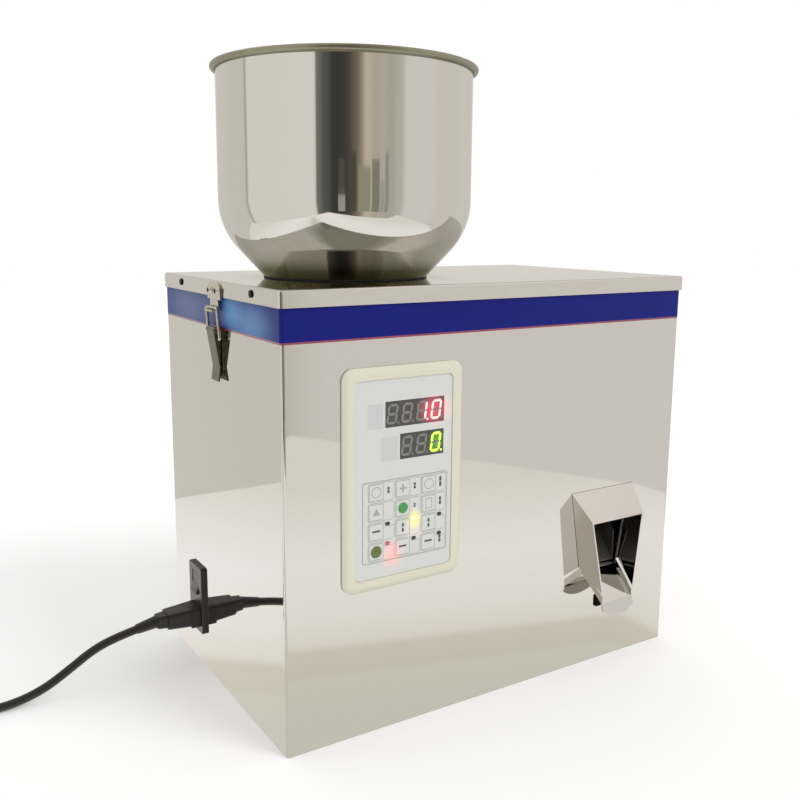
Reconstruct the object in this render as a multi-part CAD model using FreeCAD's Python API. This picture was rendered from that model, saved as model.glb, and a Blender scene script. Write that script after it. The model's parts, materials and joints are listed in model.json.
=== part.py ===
import FreeCAD, Part
import math
import os

# Bench-top granule filling machine: a spun steel hopper stands on the lift-off lid of a folded
# steel cabinet. A vibrating pan carries the granules from the hopper to a weigh bucket, whose flap
# drops them through the chute in the front panel into a bag.
# Frame: millimetres, origin at the centre of the cabinet's underside, +X right along the front,
# -Y out of the front panel, +Z up.

# Cabinet
CABINET_W = 380.0
CABINET_D = 232.0
SHEET = 1.2
CORNER_R = 2.5
TOP_FLANGE = 12.0
REAR_FLANGE = 14.0
BASE_FLANGE = 15.0
PANEL_GAP = 0.3
SCREW_R = 1.5
SCREW_HEAD_R = 3.0
SCREW_HEAD_H = 1.8
VENT_COUNT = 6
VENT_L = 36.0
VENT_H = 3.0
VENT_PITCH = 8.0
VENT_X = 90.0
VENT_Z = 60.0

# Lid
LID_TOP = 334.0
LID_SKIRT = 12.0
LID_OVERHANG = 2.0
LID_CORNER_R = 3.0
LID_EDGE_R = 2.0
SEAT_GAP = 0.2

# Stripe under the lid
BAND_H = 24.4
BAND_T = 0.25
BAND_TRIM_H = 1.4

# Hopper bowl, clamped in the lid
BOWL_X = -78.0
BOWL_Y = 0.0
BOWL_WALL = 1.0
BOWL_TOP_Z = 497.6
BOWL_RIM_TUBE = 3.0
BOWL_RIM_OFFSET = 1.4
BOWL_MOUTH_R = 101.3
BOWL_WAIST_R = 101.2
BOWL_KNUCKLE_R = 57.5
BOWL_CONE_ANGLE = 47.0
BOWL_SEAT_R = 65.3
BOWL_NECK_R = 28.0
BOWL_NECK_Z = 281.0
CLAMP_W = 16.0
CLAMP_H = 9.0
CLAMP_T = 1.5
CLAMP_SCREWS = 6

# Control panel: a moulded bezel with a membrane keypad
BEZEL_X0 = -145.5
BEZEL_X1 = -43.6
BEZEL_Z0 = 113.0
BEZEL_Z1 = 278.0
BEZEL_H = 3.4
BEZEL_EDGE_H = 1.4
BEZEL_BORDER = 9.0
BEZEL_CORNER_R = 9.0
BEZEL_FLOOR = 1.8
OVERLAY_T = 0.8
OVERLAY_GAP = 0.2
PANEL_CUT_MARGIN = 12.0
RED_X1 = -60.4
RED_Z = 243.0
RED_W = 50.3
GREEN_X1 = -60.6
GREEN_Z = 218.4
GREEN_W = 37.6
DISPLAY_H = 18.4
DISPLAY_D = 8.0
DISPLAY_RECESS = 0.2
WINDOW_GAP = 0.3
KEY_COLS = 3
KEY_ROWS = 4
KEYPAD_X0 = -125.6
KEYPAD_Z0 = 134.8
KEY_PITCH_X = 22.7
KEY_PITCH_Z = 14.9
KEY_W = 21.3
KEY_H = 13.3
KEY_CORNER_R = 1.6
KEY_T = 0.7
KEY_PROUD = 0.2
KEY_GAP = 0.3
LED_NOTCH_W = 7.7
LED_NOTCH_H = 3.4
LED_W = 3.6
LED_H = 2.0
LED_PROUD = 0.3
LED_INSET_X = 5.8
LED_INSET_Z = 2.4
BOARD_T = 1.6
STANDOFF_R = 2.5
STANDOFF_INSET = 4.0
TERMINAL_H = 9.0
TERMINAL_W = 10.0
RELAY_W = 20.0
RELAY_L = 15.0
BOARD_PART_INSET = 8.0

# Discharge chute in the front panel
CHUTE_X = 108.1
CHUTE_TOP_Z = 155.6
CHUTE_SILL_Z = 89.0
CHUTE_TOP_HALF = 34.9
CHUTE_SILL_HALF = 23.6
CHUTE_T = 1.2
HOOD_BROW_Z = 135.2
HOOD_BROW_OUT = 20.0
HOOD_LIP_OUT = 23.5
HOOD_LIP_Z = 72.0
HOOD_TAPER = 0.1
TRAY_BACK_Z = 84.0
TRAY_LIP_Z = 63.5
TRAY_BACK_HALF = 19.3
TRAY_LIP_HALF = 17.5
TRAY_TAIL = 5.0
TONGUE_OUT = 26.5
TONGUE_Z = 51.0
CHUTE_FOOT = 12.0
TRAY_WALL = 5.2
CHUTE_GAP = 0.3
SENSOR_W = 6.5
SENSOR_H = 10.3
SENSOR_Z = 54.3
SENSOR_OUT = 1.8
SENSOR_BODY = 18.0

# Toggle latches on both sides
LATCH_Y = -4.3
LATCH_PLATE_W = 20.0
LATCH_PLATE_T = 1.2
LATCH_PLATE_Z0 = 262.0
LATCH_PLATE_Z1 = 297.0
PIVOT_OUT = 4.4
PIVOT_Z = 297.0
PIVOT_R = 1.25
PIVOT_FIT = 0.05
EAR_T = 1.2
EAR_R = 2.6
LEVER_W = 15.0
LEVER_T = 1.2
LEVER_HEAD_R = 2.8
LEVER_TIP_Z = 258.0
LEVER_WAIST_Z = 269.0
LEVER_WAIST_OUT = 1.6
LEVER_TIP_OUT = 4.2
SIDE_GAP = 0.5
BAIL_WIRE_R = 1.2
BAIL_PIN_OUT = 3.6
BAIL_PIN_Z = 290.5
BAIL_HALF_W = 10.9
BAIL_BAR_OUT = 5.4
BAIL_BAR_Z = 313.9
BAIL_SEAT_GAP = 0.2
CATCH_W = 26.0
CATCH_T = 1.4
CATCH_NECK_W = 16.0
CATCH_TOP_Z = 333.2
CATCH_SHOULDER_Z = 320.0
CATCH_SHELF_OUT = 8.2
CATCH_CORNER_R = 8.0
CATCH_SCREW_Y = 7.3
CATCH_SCREW_Z = 326.6
SKIRT_SCREW_Y = 72.5
SKIRT_SCREW_HEAD_R = 2.8

# Mains inlet with a rocker switch, in the left side panel
INLET_Y = 59.8
INLET_Z = 59.0
INLET_W = 29.5
INLET_H = 59.0
INLET_PROUD = 3.0
INLET_CORNER_R = 2.5
INLET_BODY_W = 27.0
INLET_BODY_H = 50.0
INLET_BODY_D = 30.0
SOCKET_Z = 44.5
SOCKET_W = 24.4
SOCKET_H = 16.8
SOCKET_D = 14.0
SOCKET_CHAMFER = 4.5
BLADE_T = 2.0
BLADE_H = 4.0
BLADE_L = 11.0
BLADE_PITCH = 7.0
BLADE_EARTH_RISE = 4.0
ROCKER_Z = 72.5
ROCKER_L = 19.0
ROCKER_W = 13.0
ROCKER_GAP = 0.6
ROCKER_OUT = 1.2
ROCKER_TILT = 7.0
ROCKER_D = 7.0
ROCKER_PIN_R = 1.1
ROCKER_PIN_L = 1.5

# Mains lead
CORD_R = 3.5
PLUG_FIT = 0.3
CONNECTOR_BODY_L = 27.0
CONNECTOR_STEP_L = 8.0
CONNECTOR_RELIEF_L = 17.0
CONNECTOR_DROOP = 10.0
CORD_LEAD_OUT = 17.5
COIL_TURN_R = 38.5
COIL_H = 21.0
COIL_X = -412.0
COIL_Y = 96.5
MAINS_PLUG_R = 13.5
MAINS_PLUG_L = 34.0
MAINS_RELIEF_L = 20.0
MAINS_PIN_R = 2.4
MAINS_PIN_L = 19.0
MAINS_PIN_PITCH = 19.0

# Vibrating feeder
PAN_X0 = -120.0
PAN_X1 = 92.0
PAN_NECK_X = 30.0
PAN_Z = 262.0
PAN_H = 26.0
PAN_HALF_W = 34.0
PAN_OUT_HALF_W = 20.0
PAN_T = 1.5
BEAM_W = 30.0
BEAM_H = 12.0
BEAM_X0 = -112.0
BEAM_X1 = 10.0
SPRING_X = [-86.0, -2.0]
SPRING_T = 2.0
SPRING_W = 26.0
SPRING_LEAN = 18.0
SPRING_CLAMP_H = 8.0
SPRING_CLAMP_L = 14.0
FEED_GAP = 0.3
FEEDER_BASE_Z0 = 62.0
FEEDER_BASE_H = 46.0
FEEDER_BASE_W = 60.0
MOUNT_R = 10.0
MAGNET_X = -56.0
MAGNET_L = 36.0
MAGNET_W = 34.0
MAGNET_Z = 190.0
MAGNET_H = 40.0
MAGNET_GAP = 1.5
ARMATURE_T = 8.0

# Weighing and dumping
BUCKET_T = 1.0
BUCKET_HALF_W = 27.0
BUCKET_TOP_Z = 252.0
BUCKET_TOP_Y0 = -42.0
BUCKET_TOP_Y1 = 26.0
BUCKET_OUT_Z = 196.0
BUCKET_OUT_Y0 = -62.0
BUCKET_OUT_Y1 = -24.0
FLAP_T = 1.2
FLAP_GAP = 0.4
FLAP_PIN_R = 1.5
FLAP_PIN_Y = -19.5
FLAP_EAR_T = 1.5
ARM_L = 14.0
ARM_T = 4.0
ARM_W = 9.0
CELL_L = 80.0
CELL_SECTION = 16.0
CELL_REAR_GAP = 6.0
CELL_Z = 214.0
CELL_HOLE_R = 5.0
POST_W = 26.0
POST_T = 3.0
SOLENOID_L = 32.0
SOLENOID_W = 22.0
PLUNGER_R = 4.0
PLUNGER_FIT = 0.1
PLUNGER_GAP = 0.3
NOSE_L = 8.0
INNER_CHUTE_Y = -36.0
TROUGH_H = 24.0
TROUGH_LEG_HALF_W = 8.0

# Power supply
SUPPLY_W = 98.0
SUPPLY_H = 36.0
SUPPLY_X = -84.0
SUPPLY_MOUNT_GAP = 4.0
SUPPLY_REAR_GAP = 6.0
STRIP_L = 12.0
STRIP_H = 14.0
STRIP_INSET = 8.0

# What follows from the sizes above
side_x = CABINET_W / 2
front_y = -CABINET_D / 2
rear_y = CABINET_D / 2
wall_top = LID_TOP - SHEET - SEAT_GAP
skirt_z = LID_TOP - LID_SKIRT
band_z = skirt_z - BAND_H
lid_side_x = side_x + LID_OVERHANG
lid_front_y = front_y - LID_OVERHANG
cone_slope = math.tan(math.radians(BOWL_CONE_ANGLE))
tray_slope = (TRAY_BACK_Z - TRAY_LIP_Z) / HOOD_LIP_OUT
floor_drop = CHUTE_T * math.sqrt(1 + tray_slope ** 2)
socket_out = INLET_PROUD - SOCKET_D


def vec(x, y, z):
    return FreeCAD.Vector(x, y, z)


def block(x0, x1, y0, y1, z0, z1):
    """Box between two opposite corners."""
    return Part.makeBox(x1 - x0, y1 - y0, z1 - z0, vec(x0, y0, z0))


def rod(radius, start, end):
    """Cylinder from one point to another."""
    run = end - start
    return Part.makeCylinder(radius, run.Length, start, run)


def prism(points, travel):
    """Solid swept from a closed polygon along a vector."""
    wire = Part.makePolygon(list(points) + [points[0]])
    return Part.Face(wire).extrude(travel)


def side_prism(profile, y0, y1):
    """Solid from (x, z) points, swept along Y."""
    return prism([vec(x, y0, z) for x, z in profile], vec(0, y1 - y0, 0))


def cross_prism(profile, x0, x1):
    """Solid from (y, z) points, swept along X."""
    return prism([vec(x0, y, z) for y, z in profile], vec(x1 - x0, 0, 0))


def edges_along(shape, axis):
    """Straight edges that run along one axis."""
    found = []
    for edge in shape.Edges:
        if isinstance(edge.Curve, (Part.Line, Part.LineSegment)):
            run = edge.tangentAt(edge.FirstParameter)
            if abs(abs(run.dot(axis)) - 1) < 1e-6:
                found.append(edge)
    return found


def rounded_block(x0, x1, y0, y1, z0, z1, radius, axis):
    """Box whose edges along one axis are rounded."""
    body = block(x0, x1, y0, y1, z0, z1)
    return body.makeFillet(radius, edges_along(body, axis))


def revolve(wire, x, y):
    """Full turn of a profile drawn in the XZ plane about an upright axis."""
    face = Part.Face(wire)
    return face.revolve(vec(x, y, 0), vec(0, 0, 1), 360)


def pan_head(point, out):
    """Screw with a tapered low head and a shank behind it, on a face whose normal is out."""
    head = Part.makeCone(SCREW_HEAD_R, SCREW_HEAD_R * 0.6, SCREW_HEAD_H, point, out)
    shank = Part.makeCylinder(SCREW_R, SHEET, point - out * SHEET, out)
    return head.fuse(shank)


def mirrored(shape):
    """The same piece on the other side of the cabinet."""
    return shape.mirror(vec(0, 0, 0), vec(1, 0, 0))


def at_left(out):
    """X of a point that stands out from the left side panel."""
    return -side_x - out


# Cabinet
def chute_half(z):
    """Half the width of the chute at a height: it narrows downwards."""
    share = (z - CHUTE_SILL_Z) / (CHUTE_TOP_Z - CHUTE_SILL_Z)
    return CHUTE_SILL_HALF + share * (CHUTE_TOP_HALF - CHUTE_SILL_HALF)


def chute_opening(clear, y0, y1):
    """Trapezoid hole for the hood with a slot below it for the tray, grown by a clearance."""
    top = CHUTE_TOP_HALF + clear
    sill = CHUTE_SILL_HALF + clear
    corners = [(-top, CHUTE_TOP_Z + clear), (top, CHUTE_TOP_Z + clear),
               (sill, CHUTE_SILL_Z - clear), (-sill, CHUTE_SILL_Z - clear)]
    hole = prism([vec(CHUTE_X + x, y0, z) for x, z in corners], vec(0, y1 - y0, 0))
    slot_half = TRAY_BACK_HALF + clear
    return hole.fuse(block(CHUTE_X - slot_half, CHUTE_X + slot_half, y0, y1,
                           TRAY_BACK_Z - floor_drop - clear, CHUTE_SILL_Z))


def front_corners(body):
    """Upright edges at the front of a block."""
    return [e for e in edges_along(body, vec(0, 0, 1)) if e.CenterOfMass.y < 0]


def cabinet_shell():
    """Front and two sides bent from one sheet, with flanges along the top and the rear."""
    outer = block(-side_x, side_x, front_y, rear_y, 0, wall_top)
    outer = outer.makeFillet(CORNER_R, front_corners(outer))
    inner = block(-side_x + SHEET, side_x - SHEET, front_y + SHEET, rear_y + SHEET, -SHEET,
                  wall_top + SHEET)
    inner = inner.makeFillet(CORNER_R - SHEET, front_corners(inner))
    shell = outer.cut(inner)
    rim = outer.common(block(-side_x, side_x, front_y, rear_y - SHEET - PANEL_GAP,
                             wall_top - SHEET, wall_top))
    rim = rim.cut(block(-side_x + TOP_FLANGE, side_x - TOP_FLANGE, front_y + TOP_FLANGE,
                        rear_y, 0, wall_top + SHEET))
    shell = shell.fuse(rim)
    for sign in (-1, 1):
        inside = sorted((sign * (side_x - SHEET), sign * (side_x - REAR_FLANGE)))
        shell = shell.fuse(block(inside[0], inside[1], rear_y - 2 * SHEET - PANEL_GAP,
                                 rear_y - SHEET - PANEL_GAP, BASE_FLANGE + PANEL_GAP,
                                 wall_top - SHEET))
    shell = shell.cut(chute_opening(CHUTE_GAP, front_y - 1, front_y + SHEET + 1))
    shell = shell.cut(panel_cut())
    shell = shell.cut(block(-side_x - 1, -side_x + SHEET + 1, INLET_Y - INLET_BODY_W / 2 - PANEL_GAP,
                            INLET_Y + INLET_BODY_W / 2 + PANEL_GAP,
                            INLET_Z - INLET_BODY_H / 2 - PANEL_GAP,
                            INLET_Z + INLET_BODY_H / 2 + PANEL_GAP))
    shell = shell.cut(rod(SENSOR_W / 2 - 1 + PANEL_GAP, vec(CHUTE_X, front_y - 1, SENSOR_Z),
                          vec(CHUTE_X, front_y + SHEET + 1, SENSOR_Z)))
    return shell.removeSplitter()


def panel_cut():
    """Rectangular hole in the front panel behind the bezel."""
    return block(BEZEL_X0 + PANEL_CUT_MARGIN, BEZEL_X1 - PANEL_CUT_MARGIN, front_y - 1,
                 front_y + SHEET + 1, BEZEL_Z0 + PANEL_CUT_MARGIN, BEZEL_Z1 - PANEL_CUT_MARGIN)


def base_plate():
    half_x = side_x - SHEET - PANEL_GAP
    y0 = front_y + SHEET + PANEL_GAP
    y1 = rear_y - SHEET - PANEL_GAP
    tray = block(-half_x, half_x, y0, y1, 0, BASE_FLANGE)
    hollow = block(-half_x + SHEET, half_x - SHEET, y0 + SHEET, y1 - SHEET, SHEET, BASE_FLANGE + 1)
    corners = edges_along(tray, vec(0, 0, 1))
    tray = tray.makeFillet(CORNER_R - SHEET, corners)
    return tray.cut(hollow)


def back_screw_points():
    half_x = side_x - REAR_FLANGE / 2 - SHEET / 2
    low = BASE_FLANGE + 20
    high = band_z - 15
    middle = (low + high) / 2
    return [vec(x, rear_y, z) for x in (-half_x, half_x) for z in (low, middle, high)]


def back_panel():
    half_x = side_x - SHEET - PANEL_GAP
    panel = block(-half_x, half_x, rear_y - SHEET, rear_y, 0, wall_top)
    lip = block(-half_x, half_x, rear_y - TOP_FLANGE, rear_y, wall_top - SHEET, wall_top)
    lip = lip.cut(block(-side_x, -side_x + TOP_FLANGE + PANEL_GAP, 0, rear_y - SHEET, 0, wall_top))
    lip = lip.cut(block(side_x - TOP_FLANGE - PANEL_GAP, side_x, 0, rear_y - SHEET, 0, wall_top))
    panel = panel.fuse(lip)
    slot = rounded_block(-VENT_L / 2, VENT_L / 2, rear_y - SHEET - 1, rear_y + 1, -VENT_H / 2,
                         VENT_H / 2, VENT_H / 2 - 0.05, vec(0, 1, 0))
    for row in range(VENT_COUNT):
        place = slot.copy()
        place.translate(vec(VENT_X, 0, VENT_Z + row * VENT_PITCH))
        panel = panel.cut(place)
    for point in back_screw_points():
        panel = panel.cut(rod(SCREW_R, point - vec(0, 2 * SHEET, 0), point + vec(0, 1, 0)))
    return panel


def back_screws():
    return Part.makeCompound([pan_head(p, vec(0, 1, 0)) for p in back_screw_points()])


def band_ring(z0, z1, thickness):
    """Thin closed strip round the cabinet."""
    grow = thickness
    outer = block(-side_x - grow, side_x + grow, front_y - grow, rear_y + grow, z0, z1)
    inner = block(-side_x, side_x, front_y, rear_y, z0 - 1, z1 + 1)
    outer = outer.makeFillet(CORNER_R + grow, front_corners(outer))
    return outer.cut(inner.makeFillet(CORNER_R, front_corners(inner)))


def blue_band():
    return band_ring(band_z + BAND_TRIM_H, skirt_z, BAND_T)


def band_trim():
    return band_ring(band_z, band_z + BAND_TRIM_H, BAND_T)


# Lid and hopper
def lid_cover():
    cover = rounded_block(-lid_side_x, lid_side_x, lid_front_y, -lid_front_y, skirt_z, LID_TOP,
                          LID_CORNER_R, vec(0, 0, 1))
    top = max(cover.Faces, key=lambda f: f.CenterOfMass.z)
    cover = cover.makeFillet(LID_EDGE_R, top.Edges)
    hollow = rounded_block(-lid_side_x + SHEET, lid_side_x - SHEET, lid_front_y + SHEET,
                           -lid_front_y - SHEET, skirt_z - 1, LID_TOP - SHEET,
                           LID_CORNER_R - SHEET, vec(0, 0, 1))
    cover = cover.cut(hollow)
    hole = rod(BOWL_SEAT_R + PANEL_GAP, vec(BOWL_X, BOWL_Y, skirt_z), vec(BOWL_X, BOWL_Y, LID_TOP + 1))
    return cover.cut(hole)


def cone_r(z):
    """Outer radius of the bowl's cone at a height."""
    return BOWL_SEAT_R - (LID_TOP - z) / cone_slope


def hopper_bowl():
    lean = math.radians(BOWL_CONE_ANGLE)
    knuckle_x = BOWL_WAIST_R - BOWL_KNUCKLE_R
    touch_r = knuckle_x + BOWL_KNUCKLE_R * math.sin(lean)
    touch_z = LID_TOP + (touch_r - BOWL_SEAT_R) * cone_slope
    waist_z = touch_z + BOWL_KNUCKLE_R * math.cos(lean)
    rim_z = BOWL_TOP_Z - BOWL_RIM_TUBE
    neck_top = LID_TOP - (BOWL_SEAT_R - BOWL_NECK_R) * cone_slope
    shift = BOWL_WALL * math.tan(lean / 2)

    def point(radius, z):
        return vec(BOWL_X + radius, BOWL_Y, z)

    def knuckle(radius):
        ends = []
        for turn in (lean, (lean + math.pi / 2) / 2, math.pi / 2):
            ends.append(point(knuckle_x + radius * math.sin(turn), waist_z - radius * math.cos(turn)))
        return Part.Arc(ends[0], ends[1], ends[2]).toShape(), ends[0], ends[2]

    outer_arc, outer_low, outer_high = knuckle(BOWL_KNUCKLE_R)
    inner_arc, inner_low, inner_high = knuckle(BOWL_KNUCKLE_R - BOWL_WALL)
    inner_neck = point(BOWL_NECK_R - BOWL_WALL, neck_top + shift)
    edges = [
        Part.makeLine(point(BOWL_NECK_R, BOWL_NECK_Z), point(BOWL_NECK_R, neck_top)),
        Part.makeLine(point(BOWL_NECK_R, neck_top), outer_low),
        outer_arc,
        Part.makeLine(outer_high, point(BOWL_MOUTH_R, rim_z)),
        Part.makeLine(point(BOWL_MOUTH_R, rim_z), point(BOWL_MOUTH_R - BOWL_WALL, rim_z)),
        Part.makeLine(point(BOWL_MOUTH_R - BOWL_WALL, rim_z), inner_high),
        inner_arc,
        Part.makeLine(inner_low, inner_neck),
        Part.makeLine(inner_neck, point(BOWL_NECK_R - BOWL_WALL, BOWL_NECK_Z)),
        Part.makeLine(point(BOWL_NECK_R - BOWL_WALL, BOWL_NECK_Z), point(BOWL_NECK_R, BOWL_NECK_Z)),
    ]
    bowl = revolve(Part.Wire(Part.__sortEdges__(edges)), BOWL_X, BOWL_Y)
    rim = Part.makeTorus(BOWL_MOUTH_R + BOWL_RIM_OFFSET, BOWL_RIM_TUBE, vec(BOWL_X, BOWL_Y, rim_z))
    return bowl.fuse(rim)


def clamp_screw_points():
    reach = BOWL_SEAT_R + PANEL_GAP + CLAMP_W * 0.6
    points = []
    for index in range(CLAMP_SCREWS):
        turn = 2 * math.pi * (index + 0.5) / CLAMP_SCREWS
        points.append(vec(BOWL_X + reach * math.cos(turn), BOWL_Y + reach * math.sin(turn),
                          LID_TOP - SHEET - CLAMP_T))
    return points


def bowl_clamp_ring():
    gap = PANEL_GAP / 2
    top = LID_TOP - SHEET
    low = top - CLAMP_H
    outline = [
        (cone_r(top) + gap, top), (cone_r(low) + gap, low), (cone_r(low) + gap + CLAMP_T, low),
        (cone_r(top - CLAMP_T) + gap + CLAMP_T, top - CLAMP_T),
        (BOWL_SEAT_R + PANEL_GAP + CLAMP_W, top - CLAMP_T),
        (BOWL_SEAT_R + PANEL_GAP + CLAMP_W, top),
    ]
    points = [vec(BOWL_X + r, BOWL_Y, z) for r, z in outline]
    ring = revolve(Part.makePolygon(points + [points[0]]), BOWL_X, BOWL_Y)
    for point in clamp_screw_points():
        ring = ring.fuse(Part.makeCone(SCREW_HEAD_R, SCREW_HEAD_R * 0.6, SCREW_HEAD_H, point,
                                       vec(0, 0, -1)))
    return ring


def skirt_screws():
    """Round black screws that close the skirt's ends, two on each side."""
    screws = []
    for sign in (-1, 1):
        for y in (-SKIRT_SCREW_Y, SKIRT_SCREW_Y):
            point = vec(sign * lid_side_x, y, skirt_z + LID_SKIRT * 0.55)
            head = Part.makeCylinder(SKIRT_SCREW_HEAD_R, SCREW_HEAD_H * 0.6, point, vec(sign, 0, 0))
            screws.append(head)
    return Part.makeCompound(screws)


# Toggle latch, drawn on the left side
def latch_catch():
    """Plate on the lid's skirt whose foot turns out under the bail."""
    x0 = at_left(LID_OVERHANG)
    x1 = x0 - CATCH_T
    half = CATCH_W / 2
    neck = CATCH_NECK_W / 2
    shelf_top = BAIL_BAR_Z - BAIL_WIRE_R - BAIL_SEAT_GAP
    plate = block(x1, x0, LATCH_Y - half, LATCH_Y + half, CATCH_SHOULDER_Z, CATCH_TOP_Z)
    crown = [e for e in edges_along(plate, vec(1, 0, 0)) if e.CenterOfMass.z > CATCH_SHOULDER_Z + 1]
    plate = plate.makeFillet(CATCH_CORNER_R, crown)
    shelf_x = at_left(CATCH_SHELF_OUT)
    profile = [(x0, CATCH_SHOULDER_Z + 1), (x1, CATCH_SHOULDER_Z + 1), (x1, shelf_top),
               (shelf_x, shelf_top + 0.1), (shelf_x, shelf_top - CATCH_T),
               (x0, shelf_top - CATCH_T)]
    foot = side_prism(profile, LATCH_Y - neck, LATCH_Y + neck)
    bend = [e for e in edges_along(foot, vec(0, 1, 0))
            if abs(e.CenterOfMass.x - x0) < 0.01 and e.CenterOfMass.z < shelf_top]
    foot = foot.makeFillet(CATCH_T, bend)
    screws = [pan_head(vec(x1, LATCH_Y + s * CATCH_SCREW_Y, CATCH_SCREW_Z), vec(-1, 0, 0))
              for s in (-1, 1)]
    plate = plate.fuse(foot).removeSplitter()
    for screw in screws:
        plate = plate.fuse(screw)
    return plate


def latch_base():
    half = LATCH_PLATE_W / 2
    plate = block(at_left(LATCH_PLATE_T), at_left(0), LATCH_Y - half, LATCH_Y + half, LATCH_PLATE_Z0,
                  LATCH_PLATE_Z1)
    pin_x = at_left(PIVOT_OUT)
    inner = LEVER_W / 2 + SIDE_GAP
    for sign in (-1, 1):
        ends = sorted((LATCH_Y + sign * inner, LATCH_Y + sign * (inner + EAR_T)))
        ear = rod(EAR_R, vec(pin_x, ends[0], PIVOT_Z), vec(pin_x, ends[1], PIVOT_Z))
        root = block(pin_x, at_left(0), ends[0], ends[1], PIVOT_Z - EAR_R, LATCH_PLATE_Z1)
        plate = plate.fuse(ear.fuse(root))
    reach = inner + EAR_T
    pin = rod(PIVOT_R, vec(pin_x, LATCH_Y - reach, PIVOT_Z), vec(pin_x, LATCH_Y + reach, PIVOT_Z))
    return plate.fuse(pin).removeSplitter()


def latch_lever():
    half = LEVER_W / 2
    pin_x = at_left(PIVOT_OUT)
    head_out = PIVOT_OUT + LEVER_HEAD_R
    outer = [(head_out, PIVOT_Z), (LEVER_WAIST_OUT + LEVER_T, LEVER_WAIST_Z),
             (LEVER_TIP_OUT, LEVER_TIP_Z)]
    inner = [(LEVER_TIP_OUT - LEVER_T, LEVER_TIP_Z), (LEVER_WAIST_OUT, LEVER_WAIST_Z),
             (head_out - LEVER_T, PIVOT_Z)]
    profile = [(at_left(out), z) for out, z in outer + inner]
    face = side_prism(profile, LATCH_Y - half, LATCH_Y + half)
    crown = rod(LEVER_HEAD_R, vec(pin_x, LATCH_Y - half, PIVOT_Z), vec(pin_x, LATCH_Y + half, PIVOT_Z))
    hollow = rod(LEVER_HEAD_R - LEVER_T, vec(pin_x, LATCH_Y - half - 1, PIVOT_Z),
                 vec(pin_x, LATCH_Y + half + 1, PIVOT_Z))
    crown = crown.cut(hollow).cut(block(at_left(head_out + 1), at_left(0), LATCH_Y - half - 1,
                                        LATCH_Y + half + 1, PIVOT_Z - EAR_R * 3, PIVOT_Z))
    crown = crown.cut(block(pin_x, at_left(0), LATCH_Y - half - 1, LATCH_Y + half + 1, PIVOT_Z - 1,
                            PIVOT_Z + LEVER_HEAD_R + 1))
    lever = face.fuse(crown)
    cheek_in = PIVOT_OUT - LEVER_HEAD_R
    cheek = [(at_left(out), z) for out, z in
             [(head_out - 0.3, PIVOT_Z), (LEVER_WAIST_OUT + LEVER_T * 0.5, LEVER_WAIST_Z + 1),
              (cheek_in, LEVER_WAIST_Z + 4), (cheek_in, PIVOT_Z)]]
    for sign in (-1, 1):
        ends = sorted((LATCH_Y + sign * half, LATCH_Y + sign * (half - LEVER_T)))
        side = side_prism(cheek, ends[0], ends[1])
        side = side.fuse(rod(LEVER_HEAD_R, vec(pin_x, ends[0], PIVOT_Z), vec(pin_x, ends[1], PIVOT_Z)))
        lever = lever.fuse(side)
    bores = [(PIVOT_OUT, PIVOT_Z, PIVOT_R + PIVOT_FIT), (BAIL_PIN_OUT, BAIL_PIN_Z,
                                                        BAIL_WIRE_R + PIVOT_FIT)]
    for out, z, radius in bores:
        lever = lever.cut(rod(radius, vec(at_left(out), LATCH_Y - half - 1, z),
                              vec(at_left(out), LATCH_Y + half + 1, z)))
    return lever.removeSplitter()


def latch_bail():
    """Wire loop: two turned-in ends, two arms and the cross bar."""
    start_y = LEVER_W / 2 - LEVER_T
    low_x = at_left(BAIL_PIN_OUT)
    high_x = at_left(BAIL_BAR_OUT)
    corner_r = BAIL_WIRE_R * 2
    route = [vec(low_x, LATCH_Y - start_y, BAIL_PIN_Z), vec(low_x, LATCH_Y - BAIL_HALF_W, BAIL_PIN_Z),
             vec(high_x, LATCH_Y - BAIL_HALF_W, BAIL_BAR_Z),
             vec(high_x, LATCH_Y + BAIL_HALF_W, BAIL_BAR_Z),
             vec(low_x, LATCH_Y + BAIL_HALF_W, BAIL_PIN_Z), vec(low_x, LATCH_Y + start_y, BAIL_PIN_Z)]
    radii = [BAIL_WIRE_R * 1.05, corner_r, corner_r, BAIL_WIRE_R * 1.05]
    return tube_along(route, radii, BAIL_WIRE_R)


def arc_path(route, radii):
    """Wire of straight runs joined by tangent arcs."""
    edges = []
    last = route[0]
    for index in range(1, len(route) - 1):
        corner = route[index]
        into = (corner - route[index - 1]).normalize()
        away = (route[index + 1] - corner).normalize()
        turn = into.getAngle(away)
        trim = radii[index - 1] * math.tan(turn / 2)
        first = corner - into * trim
        second = corner + away * trim
        inward = (away - into).normalize()
        centre = corner + inward * (radii[index - 1] / math.cos(turn / 2))
        middle = centre - inward * radii[index - 1]
        edges.append(Part.LineSegment(last, first).toShape())
        edges.append(Part.Arc(first, middle, second).toShape())
        last = second
    edges.append(Part.LineSegment(last, route[-1]).toShape())
    return Part.Wire(edges)


def tube_along(route, radii, radius):
    path = arc_path(route, radii)
    heading = route[1] - route[0]
    section = Part.Wire(Part.Circle(route[0], heading, radius).toShape())
    return path.makePipeShell([section], True, False)


# Control panel
def key_centres():
    """Row and column of each key with its centre, counted from the lower left."""
    centres = []
    for row in range(KEY_ROWS):
        for col in range(KEY_COLS):
            x = KEYPAD_X0 + (col + 0.5) * KEY_PITCH_X
            z = KEYPAD_Z0 + (row + 0.5) * KEY_PITCH_Z
            centres.append((row, col, x, z))
    return centres


def led_point(x, z):
    """Centre of the small lamp window in the upper right corner of a key's cell."""
    return x + KEY_PITCH_X / 2 - LED_INSET_X, z + KEY_PITCH_Z / 2 - LED_INSET_Z


def display_boxes():
    """Left, right, bottom and top of the two display modules."""
    return {
        "red_display": (RED_X1 - RED_W, RED_X1, RED_Z - DISPLAY_H / 2, RED_Z + DISPLAY_H / 2),
        "green_display": (GREEN_X1 - GREEN_W, GREEN_X1, GREEN_Z - DISPLAY_H / 2,
                          GREEN_Z + DISPLAY_H / 2),
    }


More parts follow.
